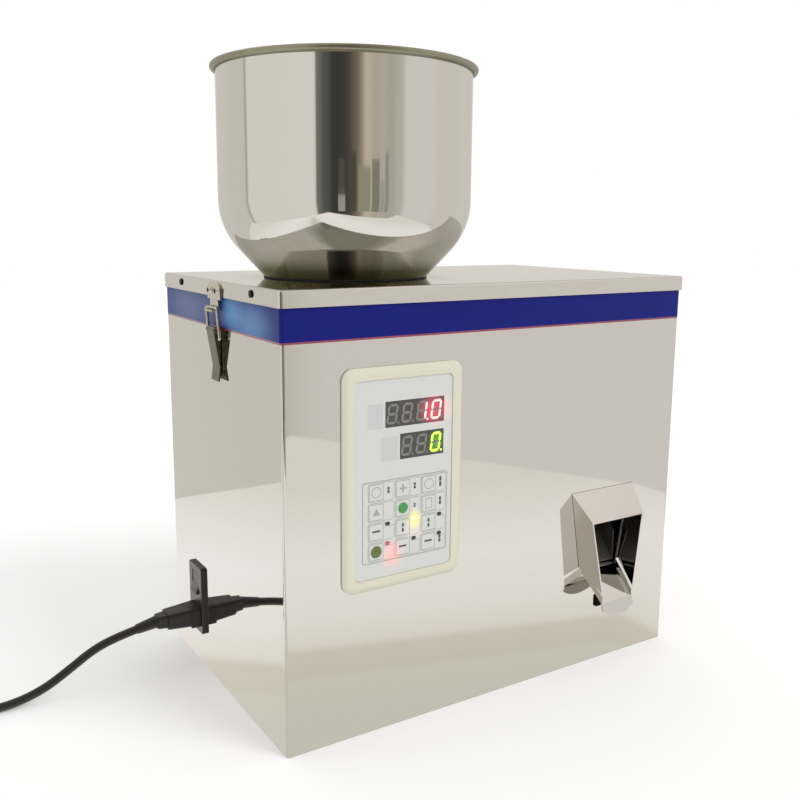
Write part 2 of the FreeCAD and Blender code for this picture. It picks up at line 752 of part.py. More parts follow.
def display_windows(y0, y1):
    cuts = []
    for x0, x1, z0, z1 in display_boxes().values():
        cuts.append(block(x0 - WINDOW_GAP, x1 + WINDOW_GAP, y0, y1, z0 - WINDOW_GAP, z1 + WINDOW_GAP))
    return cuts


overlay_back = front_y - BEZEL_FLOOR
overlay_face = overlay_back - OVERLAY_T


def control_bezel():
    """Moulded frame with a soft sloping border and a recessed floor."""
    y_edge = front_y - BEZEL_EDGE_H
    y_top = front_y - BEZEL_H
    rise = BEZEL_H - BEZEL_EDGE_H

    def outline(inset, y, radius):
        plate = rounded_block(BEZEL_X0 + inset, BEZEL_X1 - inset, y, y + 1, BEZEL_Z0 + inset,
                              BEZEL_Z1 - inset, radius, vec(0, 1, 0))
        front = min(plate.Faces, key=lambda f: f.CenterOfMass.y)
        return front.OuterWire

    skirt = rounded_block(BEZEL_X0, BEZEL_X1, y_edge, front_y, BEZEL_Z0, BEZEL_Z1, BEZEL_CORNER_R,
                          vec(0, 1, 0))
    crown_in = BEZEL_BORDER * 0.6
    slope = Part.makeLoft([outline(0, y_edge, BEZEL_CORNER_R),
                           outline(crown_in * 0.45, y_edge - rise * 0.7, BEZEL_CORNER_R * 0.8),
                           outline(crown_in, y_top, BEZEL_CORNER_R * 0.6)], True, False)
    frame = skirt.fuse(slope)
    recess = rounded_block(BEZEL_X0 + BEZEL_BORDER, BEZEL_X1 - BEZEL_BORDER, y_top - 1,
                           front_y - BEZEL_FLOOR, BEZEL_Z0 + BEZEL_BORDER, BEZEL_Z1 - BEZEL_BORDER,
                           BEZEL_CORNER_R * 0.5, vec(0, 1, 0))
    frame = frame.cut(recess)
    for cut in display_windows(y_top - 1, front_y + 1):
        frame = frame.cut(cut)
    return frame.removeSplitter()


def membrane_overlay():
    inset = BEZEL_BORDER + OVERLAY_GAP
    sheet = rounded_block(BEZEL_X0 + inset, BEZEL_X1 - inset, overlay_face, overlay_back,
                          BEZEL_Z0 + inset, BEZEL_Z1 - inset, BEZEL_CORNER_R * 0.5 - OVERLAY_GAP,
                          vec(0, 1, 0))
    for cut in display_windows(overlay_face - 1, overlay_back + 1):
        sheet = sheet.cut(cut)
    for row, col, x, z in key_centres():
        hole = key_block(row, col, KEY_GAP, overlay_face - 1, overlay_back + 1)
        sheet = sheet.cut(hole)
    return sheet


def key_block(row, col, grow, y0, y1):
    """Rounded key outline; keys in the lower two rows leave a corner for a lamp."""
    x = KEYPAD_X0 + (col + 0.5) * KEY_PITCH_X
    z = KEYPAD_Z0 + (row + 0.5) * KEY_PITCH_Z
    half_w = KEY_W / 2 + grow
    half_h = KEY_H / 2 + grow
    key = rounded_block(x - half_w, x + half_w, y0, y1, z - half_h, z + half_h, KEY_CORNER_R + grow,
                        vec(0, 1, 0))
    if row < 2:
        key = key.cut(block(x + KEY_W / 2 - LED_NOTCH_W + grow, x + half_w + 1, y0 - 1, y1 + 1,
                            z + KEY_H / 2 - LED_NOTCH_H + grow, z + half_h + 1))
    return key


def membrane_key(row, col):
    face = overlay_face - KEY_PROUD
    return key_block(row, col, 0, face, face + KEY_T)


def panel_leds():
    """Six small lamp windows, let into the overlay's corners between the keys."""
    lamps = []
    for row, col, x, z in key_centres():
        if row < 2:
            lamp_x, lamp_z = led_point(x, z)
            lamps.append(block(lamp_x - LED_W / 2, lamp_x + LED_W / 2, overlay_face - LED_PROUD,
                               overlay_face, lamp_z - LED_H / 2, lamp_z + LED_H / 2))
    return Part.makeCompound(lamps)


def display_module(name):
    """Display block; its face lies just behind the overlay's."""
    x0, x1, z0, z1 = display_boxes()[name]
    face = overlay_face + DISPLAY_RECESS
    return block(x0, x1, face, face + DISPLAY_D, z0, z1)


def control_board():
    """Circuit board on four standoffs behind the panel cut-out."""
    inset = PANEL_CUT_MARGIN + 1
    y0 = overlay_face + DISPLAY_RECESS + DISPLAY_D
    board = block(BEZEL_X0 + inset, BEZEL_X1 - inset, y0, y0 + BOARD_T, BEZEL_Z0 + inset,
                  BEZEL_Z1 - inset)
    for x in (BEZEL_X0 + inset + STANDOFF_INSET, BEZEL_X1 - inset - STANDOFF_INSET):
        for z in (BEZEL_Z0 + inset + STANDOFF_INSET, BEZEL_Z1 - inset - STANDOFF_INSET):
            board = board.fuse(rod(STANDOFF_R, vec(x, front_y, z), vec(x, y0, z)))
    back = y0 + BOARD_T
    left = BEZEL_X0 + inset + BOARD_PART_INSET
    right = BEZEL_X1 - inset - BOARD_PART_INSET
    low = BEZEL_Z0 + inset + BOARD_PART_INSET
    high = BEZEL_Z1 - inset - BOARD_PART_INSET
    terminal = block(left, right, back, back + TERMINAL_H, low, low + TERMINAL_W)
    relay = block(left, left + RELAY_W, back, back + RELAY_L, high - RELAY_L, high)
    return board.fuse(terminal).fuse(relay)


# Discharge chute
def chute_hood():
    """Brow plate and two narrowing side walls, passed through the panel on inner feet."""
    foot_y = front_y + SHEET + PANEL_GAP
    side = [(foot_y, CHUTE_TOP_Z), (front_y, CHUTE_TOP_Z),
            (front_y - HOOD_BROW_OUT, HOOD_BROW_Z), (front_y - HOOD_LIP_OUT, HOOD_LIP_Z),
            (front_y, CHUTE_SILL_Z), (foot_y, CHUTE_SILL_Z)]
    silhouette = cross_prism(side, CHUTE_X - CHUTE_TOP_HALF - 5, CHUTE_X + CHUTE_TOP_HALF + 5)

    def outline(inset, out):
        narrow = inset + HOOD_TAPER * max(out, 0)
        low = HOOD_LIP_Z - 20
        high = CHUTE_TOP_Z + 20
        corners = [(-chute_half(high) + narrow, high), (chute_half(high) - narrow, high),
                   (chute_half(low) - narrow, low), (-chute_half(low) + narrow, low)]
        points = [vec(CHUTE_X + x, front_y - out, z) for x, z in corners]
        return Part.makePolygon(points + [points[0]])

    def funnel(inset):
        front = Part.makeLoft([outline(inset, HOOD_LIP_OUT + 5), outline(inset, 0)], True, True)
        rear = Part.makeLoft([outline(inset, 0), outline(inset, -CHUTE_FOOT)], True, True)
        return front.fuse(rear)

    drop = CHUTE_T * math.sqrt(2)
    inside = [(foot_y + 1, CHUTE_TOP_Z - drop), (front_y - drop * 0.4, CHUTE_TOP_Z - drop),
              (front_y - HOOD_BROW_OUT, HOOD_BROW_Z - drop),
              (front_y - HOOD_LIP_OUT - 1, HOOD_BROW_Z - drop),
              (front_y - HOOD_LIP_OUT - 1, HOOD_LIP_Z - 10), (foot_y + 1, HOOD_LIP_Z - 10)]
    passage = cross_prism(inside, CHUTE_X - CHUTE_TOP_HALF - 6, CHUTE_X + CHUTE_TOP_HALF + 6)
    hood = silhouette.common(funnel(0)).cut(passage.common(funnel(CHUTE_T)))
    for sign in (-1, 1):
        inner_high = CHUTE_TOP_HALF - CHUTE_T
        inner_low = CHUTE_SILL_HALF - CHUTE_T
        points = [vec(CHUTE_X + sign * inner_high, foot_y, CHUTE_TOP_Z),
                  vec(CHUTE_X + sign * (inner_high + CHUTE_FOOT), foot_y, CHUTE_TOP_Z),
                  vec(CHUTE_X + sign * (inner_low + CHUTE_FOOT), foot_y, CHUTE_SILL_Z),
                  vec(CHUTE_X + sign * inner_low, foot_y, CHUTE_SILL_Z)]
        hood = hood.fuse(prism(points, vec(0, CHUTE_T, 0)))
    return hood.removeSplitter()


def chute_floor():
    """Sloping tray through the panel, hooked behind it by a foot, that ends in a rounded tongue."""
    foot_y = front_y + SHEET + PANEL_GAP
    tail_y = foot_y + TRAY_TAIL
    lip_y = front_y - HOOD_LIP_OUT
    tip_y = front_y - TONGUE_OUT
    slope = [(tail_y, TRAY_BACK_Z), (front_y, TRAY_BACK_Z), (lip_y, TRAY_LIP_Z),
             (lip_y, TRAY_LIP_Z - floor_drop), (front_y, TRAY_BACK_Z - floor_drop),
             (tail_y, TRAY_BACK_Z - floor_drop)]
    tray = cross_prism(slope, CHUTE_X - TRAY_BACK_HALF, CHUTE_X + TRAY_BACK_HALF)
    plan = [(-TRAY_BACK_HALF, tail_y), (TRAY_BACK_HALF, tail_y), (TRAY_BACK_HALF, front_y),
            (TRAY_LIP_HALF, lip_y), (-TRAY_LIP_HALF, lip_y), (-TRAY_BACK_HALF, front_y)]
    tray = tray.common(prism([vec(CHUTE_X + x, y, 0) for x, y in plan], vec(0, 0, CHUTE_TOP_Z)))
    for sign in (-1, 1):
        back_x = CHUTE_X + sign * TRAY_BACK_HALF
        lip_x = CHUTE_X + sign * TRAY_LIP_HALF
        edge = [vec(back_x, front_y, TRAY_BACK_Z), vec(lip_x, lip_y, TRAY_LIP_Z),
                vec(lip_x, lip_y, TRAY_LIP_Z + TRAY_WALL), vec(back_x, front_y, TRAY_BACK_Z + TRAY_WALL)]
        tray = tray.fuse(prism(edge, vec(-sign * CHUTE_T, 0, 0)))
    foot = block(CHUTE_X - TRAY_BACK_HALF, CHUTE_X + TRAY_BACK_HALF, foot_y, foot_y + CHUTE_T,
                 TRAY_BACK_Z - CHUTE_FOOT, TRAY_BACK_Z)
    strip = [(lip_y, TRAY_LIP_Z), (tip_y, TONGUE_Z), (tip_y + CHUTE_T, TONGUE_Z - 0.3),
             (lip_y + CHUTE_T, TRAY_LIP_Z - floor_drop)]
    tongue = cross_prism(strip, CHUTE_X - TRAY_LIP_HALF, CHUTE_X + TRAY_LIP_HALF)
    shoulder_z = TONGUE_Z + (TRAY_LIP_Z - TONGUE_Z) * 0.45
    near_y = tip_y - 5
    spade = [vec(CHUTE_X - TRAY_LIP_HALF, near_y, TRAY_LIP_Z + 1),
             vec(CHUTE_X - TRAY_LIP_HALF, near_y, shoulder_z),
             vec(CHUTE_X, near_y, TONGUE_Z),
             vec(CHUTE_X + TRAY_LIP_HALF, near_y, shoulder_z),
             vec(CHUTE_X + TRAY_LIP_HALF, near_y, TRAY_LIP_Z + 1)]
    outline = Part.Wire([Part.makeLine(spade[0], spade[1]),
                         Part.Arc(spade[1], spade[2], spade[3]).toShape(),
                         Part.makeLine(spade[3], spade[4]), Part.makeLine(spade[4], spade[0])])
    tongue = tongue.common(Part.Face(outline).extrude(vec(0, TONGUE_OUT, 0)))
    return tray.fuse(foot).fuse(tongue).removeSplitter()


def bag_sensor():
    """Small black sensor head on a round body through the panel."""
    head = rounded_block(CHUTE_X - SENSOR_W / 2, CHUTE_X + SENSOR_W / 2, front_y - SENSOR_OUT, front_y,
                         SENSOR_Z - SENSOR_H / 2, SENSOR_Z + SENSOR_H / 2, 1.0, vec(0, 1, 0))
    body = rod(SENSOR_W / 2 - 1, vec(CHUTE_X, front_y, SENSOR_Z),
               vec(CHUTE_X, front_y + SENSOR_BODY, SENSOR_Z))
    nut = rod(SENSOR_W / 2 + 2, vec(CHUTE_X, front_y + SHEET, SENSOR_Z),
              vec(CHUTE_X, front_y + SHEET + 3, SENSOR_Z))
    return head.fuse(body).fuse(nut)


# Mains inlet
def socket_outline(half_w, half_h, chamfer, z):
    """Six-sided outline with two cut upper corners, as (y, z) points."""
    return [(INLET_Y - half_w, z - half_h), (INLET_Y + half_w, z - half_h),
            (INLET_Y + half_w, z + half_h - chamfer), (INLET_Y + half_w - chamfer, z + half_h),
            (INLET_Y - half_w + chamfer, z + half_h), (INLET_Y - half_w, z + half_h - chamfer)]


def blade_places():
    """Blade centres as (y, z): two poles low and the earth above."""
    return [(INLET_Y - BLADE_PITCH, SOCKET_Z - BLADE_EARTH_RISE / 2),
            (INLET_Y + BLADE_PITCH, SOCKET_Z - BLADE_EARTH_RISE / 2),
            (INLET_Y, SOCKET_Z + BLADE_EARTH_RISE / 2)]


def inlet_module():
    flange = rounded_block(at_left(INLET_PROUD), at_left(0), INLET_Y - INLET_W / 2,
                           INLET_Y + INLET_W / 2, INLET_Z - INLET_H / 2, INLET_Z + INLET_H / 2,
                           INLET_CORNER_R, vec(1, 0, 0))
    rim = [e for e in flange.Edges if e.BoundBox.XMax < at_left(INLET_PROUD) + 0.01]
    flange = flange.makeFillet(0.8, rim)
    body = block(at_left(0), at_left(-INLET_BODY_D), INLET_Y - INLET_BODY_W / 2,
                 INLET_Y + INLET_BODY_W / 2, INLET_Z - INLET_BODY_H / 2, INLET_Z + INLET_BODY_H / 2)
    module = flange.fuse(body)
    socket = cross_prism(socket_outline(SOCKET_W / 2, SOCKET_H / 2, SOCKET_CHAMFER, SOCKET_Z),
                         at_left(INLET_PROUD + 1), at_left(socket_out))
    module = module.cut(socket)
    half_l = ROCKER_L / 2 + ROCKER_GAP
    half_w = ROCKER_W / 2 + ROCKER_GAP / 2
    module = module.cut(block(at_left(INLET_PROUD + 1), at_left(-ROCKER_D - 4), INLET_Y - half_w,
                              INLET_Y + half_w, ROCKER_Z - half_l, ROCKER_Z + half_l))
    module = module.cut(rocker_pin(PIVOT_FIT))
    return module.removeSplitter()


def inlet_blades():
    """Three flat contact blades in the socket."""
    blades = []
    for y, z in blade_places():
        blades.append(block(at_left(socket_out + BLADE_L), at_left(socket_out), y - BLADE_T / 2,
                            y + BLADE_T / 2, z - BLADE_H / 2, z + BLADE_H / 2))
    return Part.makeCompound(blades)


def rocker_pin(grow):
    """Pivot through the rocker and into both sides of its pocket, grown by a clearance."""
    reach = ROCKER_W / 2 + ROCKER_GAP / 2 + ROCKER_PIN_L + grow
    pin_x = at_left(ROCKER_OUT)
    return rod(ROCKER_PIN_R + grow, vec(pin_x, INLET_Y - reach, ROCKER_Z),
               vec(pin_x, INLET_Y + reach, ROCKER_Z))


def rocker_switch():
    """Rocker with a shallow hollow face, shown pressed in at one end."""
    half = ROCKER_L / 2
    pin_x = at_left(ROCKER_OUT)
    rise = INLET_PROUD + 1.0 - ROCKER_OUT
    outline = [(-ROCKER_D, -half * 0.6), (-ROCKER_D, half * 0.6), (0.0, half), (rise, half * 0.97),
               (rise * 0.45, 0.0), (rise, -half * 0.97), (0.0, -half)]
    profile = [(pin_x - out, ROCKER_Z + z) for out, z in outline]
    rocker = side_prism(profile, INLET_Y - ROCKER_W / 2, INLET_Y + ROCKER_W / 2)
    rocker.rotate(vec(pin_x, INLET_Y, ROCKER_Z), vec(0, 1, 0), ROCKER_TILT)
    return rocker.fuse(rocker_pin(0))


# Mains lead
droop = math.radians(CONNECTOR_DROOP)
cord_heading = vec(-math.cos(droop), 0, -math.sin(droop))
neck_end = vec(at_left(INLET_PROUD + CONNECTOR_BODY_L + CONNECTOR_STEP_L), INLET_Y, SOCKET_Z)
cord_start = neck_end + cord_heading * CONNECTOR_RELIEF_L


def cord_connector():
    """Moulded connector in the inlet, with a stepped neck and a tapered relief."""
    half_w = SOCKET_W / 2 - PLUG_FIT
    half_h = SOCKET_H / 2 - PLUG_FIT
    plug = cross_prism(socket_outline(half_w, half_h, SOCKET_CHAMFER, SOCKET_Z),
                       at_left(INLET_PROUD + 8), at_left(socket_out + PLUG_FIT))
    face_x = at_left(INLET_PROUD + 0.2)
    step_x = at_left(INLET_PROUD + CONNECTOR_BODY_L)

    def ring(x, w, h, radius):
        plate = rounded_block(x - 1, x, INLET_Y - w, INLET_Y + w, SOCKET_Z - h, SOCKET_Z + h, radius,
                              vec(1, 0, 0))
        return max(plate.Faces, key=lambda f: f.CenterOfMass.x).OuterWire

    body = Part.makeLoft([ring(face_x, half_w, half_h, 3.0), ring(step_x, 9.2, 6.8, 3.0)], True, True)
    step = Part.makeLoft([ring(step_x, 7.2, 5.8, 2.5), ring(neck_end.x, 6.0, 5.4, 2.5)], True,
                         True)
    sink = 1.0
    relief = Part.makeCone(CORD_R + 1.8, CORD_R + 0.6, CONNECTOR_RELIEF_L + sink,
                           neck_end - cord_heading * sink, cord_heading)
    connector = plug.fuse(body).fuse(step).fuse(relief)
    for y, z in blade_places():
        connector = connector.cut(block(at_left(socket_out + BLADE_L + 1), at_left(socket_out - 1),
                                        y - BLADE_T / 2 - PLUG_FIT, y + BLADE_T / 2 + PLUG_FIT,
                                        z - BLADE_H / 2 - PLUG_FIT, z + BLADE_H / 2 + PLUG_FIT))
    return connector


def cord_route():
    """Points of the lead from the connector down to the surface and out to the coil."""
    chosen = [(-281.0, 59.4, 32.5), (-300.5, 58.8, 20.6), (-321.0, 58.2, 9.4), (-344.0, 57.8, 3.6),
              (-366.0, 58.2, 3.5), (-388.0, 58.0, 3.5)]
    rest = [vec(x, y, z) for x, y, z in chosen]
    return [cord_start, cord_start + cord_heading * CORD_LEAD_OUT] + rest


def cord_tube():
    route = cord_route()
    radii = []
    for index in range(1, len(route) - 1):
        into = route[index] - route[index - 1]
        away = route[index + 1] - route[index]
        run = min(into.Length, away.Length)
        turn = into.getAngle(away)
        radii.append(0.45 * run / math.tan(turn / 2))
    tube = tube_along(route, radii, CORD_R)
    length = arc_path(route, radii).Length
    section = math.pi * CORD_R ** 2
    print("lead radii", [round(r, 1) for r in radii], "volume share",
          round(tube.Volume / (section * length), 4), "length", round(length, 1))
    return tube


def cord_coil():
    """Outer shape of the coiled rest of the lead."""
    reach = 2 * CORD_R
    outer = rod(COIL_TURN_R + reach, vec(COIL_X, COIL_Y, 0), vec(COIL_X, COIL_Y, COIL_H))
    inner = rod(COIL_TURN_R - reach, vec(COIL_X, COIL_Y, -1), vec(COIL_X, COIL_Y, COIL_H + 1))
    ring = outer.cut(inner)
    rims = [e for e in ring.Edges if isinstance(e.Curve, Part.Circle)]
    return ring.makeChamfer(CORD_R * 0.5, rims)


def mains_plug():
    """Round two-pin plug lying beside the coil."""
    axis_x = COIL_X - COIL_TURN_R
    start_y = COIL_Y + math.sqrt((COIL_TURN_R + 2 * CORD_R) ** 2 - COIL_TURN_R ** 2)
    axis_z = MAINS_PLUG_R
    relief = Part.makeCone(CORD_R + 0.6, CORD_R + 2.6, MAINS_RELIEF_L, vec(axis_x, start_y, axis_z),
                           vec(0, 1, 0))
    grip_y = start_y + MAINS_RELIEF_L
    grip = Part.makeCone(MAINS_PLUG_R * 0.72, MAINS_PLUG_R, MAINS_PLUG_L, vec(axis_x, grip_y, axis_z),
                         vec(0, 1, 0))
    plug = relief.fuse(grip)
    face_y = grip_y + MAINS_PLUG_L
    for sign in (-1, 1):
        x = axis_x + sign * MAINS_PIN_PITCH / 2
        plug = plug.fuse(rod(MAINS_PIN_R, vec(x, face_y, axis_z), vec(x, face_y + MAINS_PIN_L, axis_z)))
    return plug


# Vibrating feeder
def feeder_pan():
    """Open channel under the hopper that narrows towards the bucket."""
    def plan(grow, x_end):
        wide = PAN_HALF_W + grow
        slim = PAN_OUT_HALF_W + grow
        return [(PAN_X0 - grow, BOWL_Y - wide), (PAN_NECK_X, BOWL_Y - wide), (x_end, BOWL_Y - slim),
                (x_end, BOWL_Y + slim), (PAN_NECK_X, BOWL_Y + wide), (PAN_X0 - grow, BOWL_Y + wide)]

    low = PAN_Z - PAN_T
    outer = prism([vec(x, y, low) for x, y in plan(PAN_T, PAN_X1)], vec(0, 0, PAN_H + PAN_T))
    inner = prism([vec(x, y, PAN_Z) for x, y in plan(0, PAN_X1 + 1)], vec(0, 0, PAN_H + 1))
    return outer.cut(inner)


beam_top = PAN_Z - PAN_T
beam_low = beam_top - BEAM_H


def feeder_armature():
    """Steel beam under the pan with the plate that the magnet pulls."""
    half = BEAM_W / 2
    beam = block(BEAM_X0, BEAM_X1, BOWL_Y - half, BOWL_Y + half, beam_low, beam_top)
    plate_x = MAGNET_X + MAGNET_L / 2 + MAGNET_GAP
    plate = block(plate_x, plate_x + ARMATURE_T, BOWL_Y - half, BOWL_Y + half,
                  MAGNET_Z - MAGNET_H / 2, beam_low)
    return beam.fuse(plate).removeSplitter()


spring_top = beam_low - FEED_GAP
base_top = FEEDER_BASE_Z0 + FEEDER_BASE_H


def leaf_springs():
    """Two sloping leaf packs between clamps on the base and under the beam."""
    solids = []
    half = SPRING_W / 2
    for x in SPRING_X:
        low_clamp = block(x - SPRING_CLAMP_L / 2, x + SPRING_CLAMP_L / 2, BOWL_Y - half, BOWL_Y + half,
                          base_top, base_top + SPRING_CLAMP_H)
        top_x = x - SPRING_LEAN
        high_clamp = block(top_x - SPRING_CLAMP_L / 2, top_x + SPRING_CLAMP_L / 2, BOWL_Y - half,
                           BOWL_Y + half, spring_top - SPRING_CLAMP_H, spring_top)
        z0 = base_top + SPRING_CLAMP_H * 0.5
        z1 = spring_top - SPRING_CLAMP_H * 0.5
        leaf = side_prism([(x - SPRING_T / 2, z0), (x + SPRING_T / 2, z0),
                           (top_x + SPRING_T / 2, z1), (top_x - SPRING_T / 2, z1)],
                          BOWL_Y - half + 2, BOWL_Y + half - 2)
        solids.append(low_clamp.fuse(leaf).fuse(high_clamp))
    return Part.makeCompound(solids)


def feeder_base():
    """Heavy block on rubber mounts with a pedestal for the magnet."""
    half = FEEDER_BASE_W / 2
    x0 = min(SPRING_X) - SPRING_CLAMP_L
    x1 = max(SPRING_X) + SPRING_CLAMP_L
    body = rounded_block(x0, x1, BOWL_Y - half, BOWL_Y + half, FEEDER_BASE_Z0, base_top, 4.0,
                         vec(0, 0, 1))
    pedestal = block(MAGNET_X - MAGNET_L / 2, MAGNET_X + MAGNET_L / 2, BOWL_Y - MAGNET_W / 2,
                     BOWL_Y + MAGNET_W / 2, base_top, MAGNET_Z - MAGNET_H / 2)
    return body.fuse(pedestal)


def feeder_mounts():
    """Four rubber mounts between the base plate and the block."""
    mounts = []
    reach = FEEDER_BASE_W / 2 - MOUNT_R
    for x in (min(SPRING_X), max(SPRING_X)):
        for y in (BOWL_Y - reach, BOWL_Y + reach):
            mounts.append(rod(MOUNT_R, vec(x, y, SHEET), vec(x, y, FEEDER_BASE_Z0)))
    return Part.makeCompound(mounts)


def feeder_magnet():
    """Laminated core with its coil on the pedestal."""
    half_l = MAGNET_L / 2
    half_w = MAGNET_W / 2
    core = block(MAGNET_X - half_l, MAGNET_X + half_l, BOWL_Y - half_w * 0.5, BOWL_Y + half_w * 0.5,
                 MAGNET_Z - MAGNET_H / 2, MAGNET_Z + MAGNET_H / 2)
    coil = rounded_block(MAGNET_X - half_l + 6, MAGNET_X + half_l - 6, BOWL_Y - half_w,
                         BOWL_Y + half_w, MAGNET_Z - MAGNET_H / 2 + 7, MAGNET_Z + MAGNET_H / 2 - 7, 4.0,
                         vec(1, 0, 0))
    return core.fuse(coil)


# Weighing and dumping
flap_z = BUCKET_OUT_Z - FLAP_GAP


cell_y1 = rear_y - CELL_REAR_GAP
cell_y0 = cell_y1 - CELL_L


def bucket_shape(inset, over):
    """Slanted funnel between the top mouth and the outlet."""
    def ring(y0, y1, z):
        x0 = CHUTE_X - BUCKET_HALF_W + inset
        x1 = CHUTE_X + BUCKET_HALF_W - inset
        corners = [vec(x0, y0 + inset, z), vec(x1, y0 + inset, z), vec(x1, y1 - inset, z),
                   vec(x0, y1 - inset, z)]
        return Part.makePolygon(corners + [corners[0]])

    span = BUCKET_TOP_Z - BUCKET_OUT_Z
    lean0 = (BUCKET_TOP_Y0 - BUCKET_OUT_Y0) / span * over
    lean1 = (BUCKET_TOP_Y1 - BUCKET_OUT_Y1) / span * over
    return Part.makeLoft([ring(BUCKET_OUT_Y0 - lean0, BUCKET_OUT_Y1 - lean1, BUCKET_OUT_Z - over),
                          ring(BUCKET_TOP_Y0 + lean0, BUCKET_TOP_Y1 + lean1, BUCKET_TOP_Z + over)],
                         True, True)


def weigh_bucket():
    """Sheet bucket with hinge ears and a hanger to the load cell."""
    bucket = bucket_shape(0, 0).cut(bucket_shape(BUCKET_T, 1))
    pin_z = flap_z - FLAP_T / 2
    for sign in (-1, 1):
        x = CHUTE_X + sign * (BUCKET_HALF_W - FLAP_EAR_T / 2)
        ear = block(x - FLAP_EAR_T / 2, x + FLAP_EAR_T / 2, FLAP_PIN_Y - 4, FLAP_PIN_Y + 4,
                    pin_z - 4, BUCKET_OUT_Z + 10)
        ear = ear.cut(rod(FLAP_PIN_R + PIVOT_FIT, vec(x - 5, FLAP_PIN_Y, pin_z),
                          vec(x + 5, FLAP_PIN_Y, pin_z)))
        bucket = bucket.fuse(ear)
    cell_x = CHUTE_X - CELL_SECTION / 2
    hanger = block(cell_x, cell_x + CELL_SECTION, BUCKET_OUT_Y1, cell_y0 + CELL_SECTION,
                   CELL_Z + CELL_SECTION, CELL_Z + CELL_SECTION + 3)
    bucket = bucket.fuse(hanger.cut(bucket_shape(BUCKET_T, 1)))
    return bucket.removeSplitter()


def bucket_flap():
    """Flap under the bucket with its pin and the arm that the plunger pushes."""
    pin_z = flap_z - FLAP_T / 2
    half = BUCKET_HALF_W - FLAP_EAR_T - SIDE_GAP
    plate = block(CHUTE_X - half, CHUTE_X + half, BUCKET_OUT_Y0, FLAP_PIN_Y, flap_z - FLAP_T, flap_z)
    reach = BUCKET_HALF_W + SIDE_GAP + ARM_W
    pin = rod(FLAP_PIN_R, vec(CHUTE_X - BUCKET_HALF_W - SIDE_GAP, FLAP_PIN_Y, pin_z),
              vec(CHUTE_X + reach, FLAP_PIN_Y, pin_z))
    arm = block(CHUTE_X + BUCKET_HALF_W + SIDE_GAP, CHUTE_X + reach, FLAP_PIN_Y - ARM_T / 2,
                FLAP_PIN_Y + ARM_T / 2, pin_z, pin_z + ARM_L + PLUNGER_R)
    return plate.fuse(pin).fuse(arm).removeSplitter()


plunger_x = CHUTE_X + BUCKET_HALF_W + SIDE_GAP + ARM_W / 2
plunger_z = flap_z - FLAP_T / 2 + ARM_L
plunger_y = FLAP_PIN_Y + ARM_T / 2 + PLUNGER_GAP
solenoid_y = plunger_y + NOSE_L + 12


def solenoid_plunger():
    """Steel plunger whose nose stands behind the flap's arm."""
    nose = rod(PLUNGER_R * 0.6, vec(plunger_x, plunger_y, plunger_z),
               vec(plunger_x, plunger_y + NOSE_L, plunger_z))
    shank = rod(PLUNGER_R, vec(plunger_x, plunger_y + NOSE_L, plunger_z),
                vec(plunger_x, solenoid_y + SOLENOID_L - 4, plunger_z))
    return nose.fuse(shank)


def flap_solenoid():
    half = SOLENOID_W / 2
    frame = block(plunger_x - half, plunger_x + half, solenoid_y, solenoid_y + SOLENOID_L,
                  plunger_z - half, plunger_z + half)
    bore = rod(PLUNGER_R + PLUNGER_FIT, vec(plunger_x, solenoid_y - 1, plunger_z),
               vec(plunger_x, solenoid_y + SOLENOID_L + 1, plunger_z))
    return frame.cut(bore)


def load_cell():
    """Bending beam with the two linked holes of a weighing cell."""
    half = CELL_SECTION / 2
    beam = block(CHUTE_X - half, CHUTE_X + half, cell_y0, cell_y1, CELL_Z, CELL_Z + CELL_SECTION)
    middle_y = (cell_y0 + cell_y1) / 2
    middle_z = CELL_Z + half
    for offset in (-CELL_L * 0.14, CELL_L * 0.14):
        beam = beam.cut(rod(CELL_HOLE_R, vec(CHUTE_X - half - 1, middle_y + offset, middle_z),
                            vec(CHUTE_X + half + 1, middle_y + offset, middle_z)))
    slot = block(CHUTE_X - half - 1, CHUTE_X + half + 1, middle_y - CELL_L * 0.14,
                 middle_y + CELL_L * 0.14, middle_z - 1.5, middle_z + 1.5)
    return beam.cut(slot)


def load_cell_post():
    """Folded post from the base plate that carries the load cell and the solenoid."""
    half = POST_W / 2
    y1 = cell_y1
    y0 = y1 - POST_W
    web = block(CHUTE_X - half, CHUTE_X + half, y1 - POST_T, y1, SHEET, CELL_Z)
    seat = block(CHUTE_X - half, CHUTE_X + half, y0, y1, CELL_Z - POST_T, CELL_Z)
    foot = block(CHUTE_X - half, CHUTE_X + half, y0 - 10, y1, SHEET, SHEET + POST_T)
    post = web.fuse(seat).fuse(foot)
    for sign in (-1, 1):
        edge = sorted((CHUTE_X + sign * half, CHUTE_X + sign * (half - POST_T)))
        gusset = [(y1, SHEET), (y0 - 10, SHEET), (y0, CELL_Z), (y1, CELL_Z)]
        post = post.fuse(cross_prism(gusset, edge[0], edge[1]))
    arm_low = plunger_z - SOLENOID_W / 2 - POST_T
    shelf = block(CHUTE_X + half - POST_T, plunger_x + SOLENOID_W / 2, solenoid_y, y1, arm_low,
                  arm_low + POST_T)
    return post.fuse(shelf).removeSplitter()


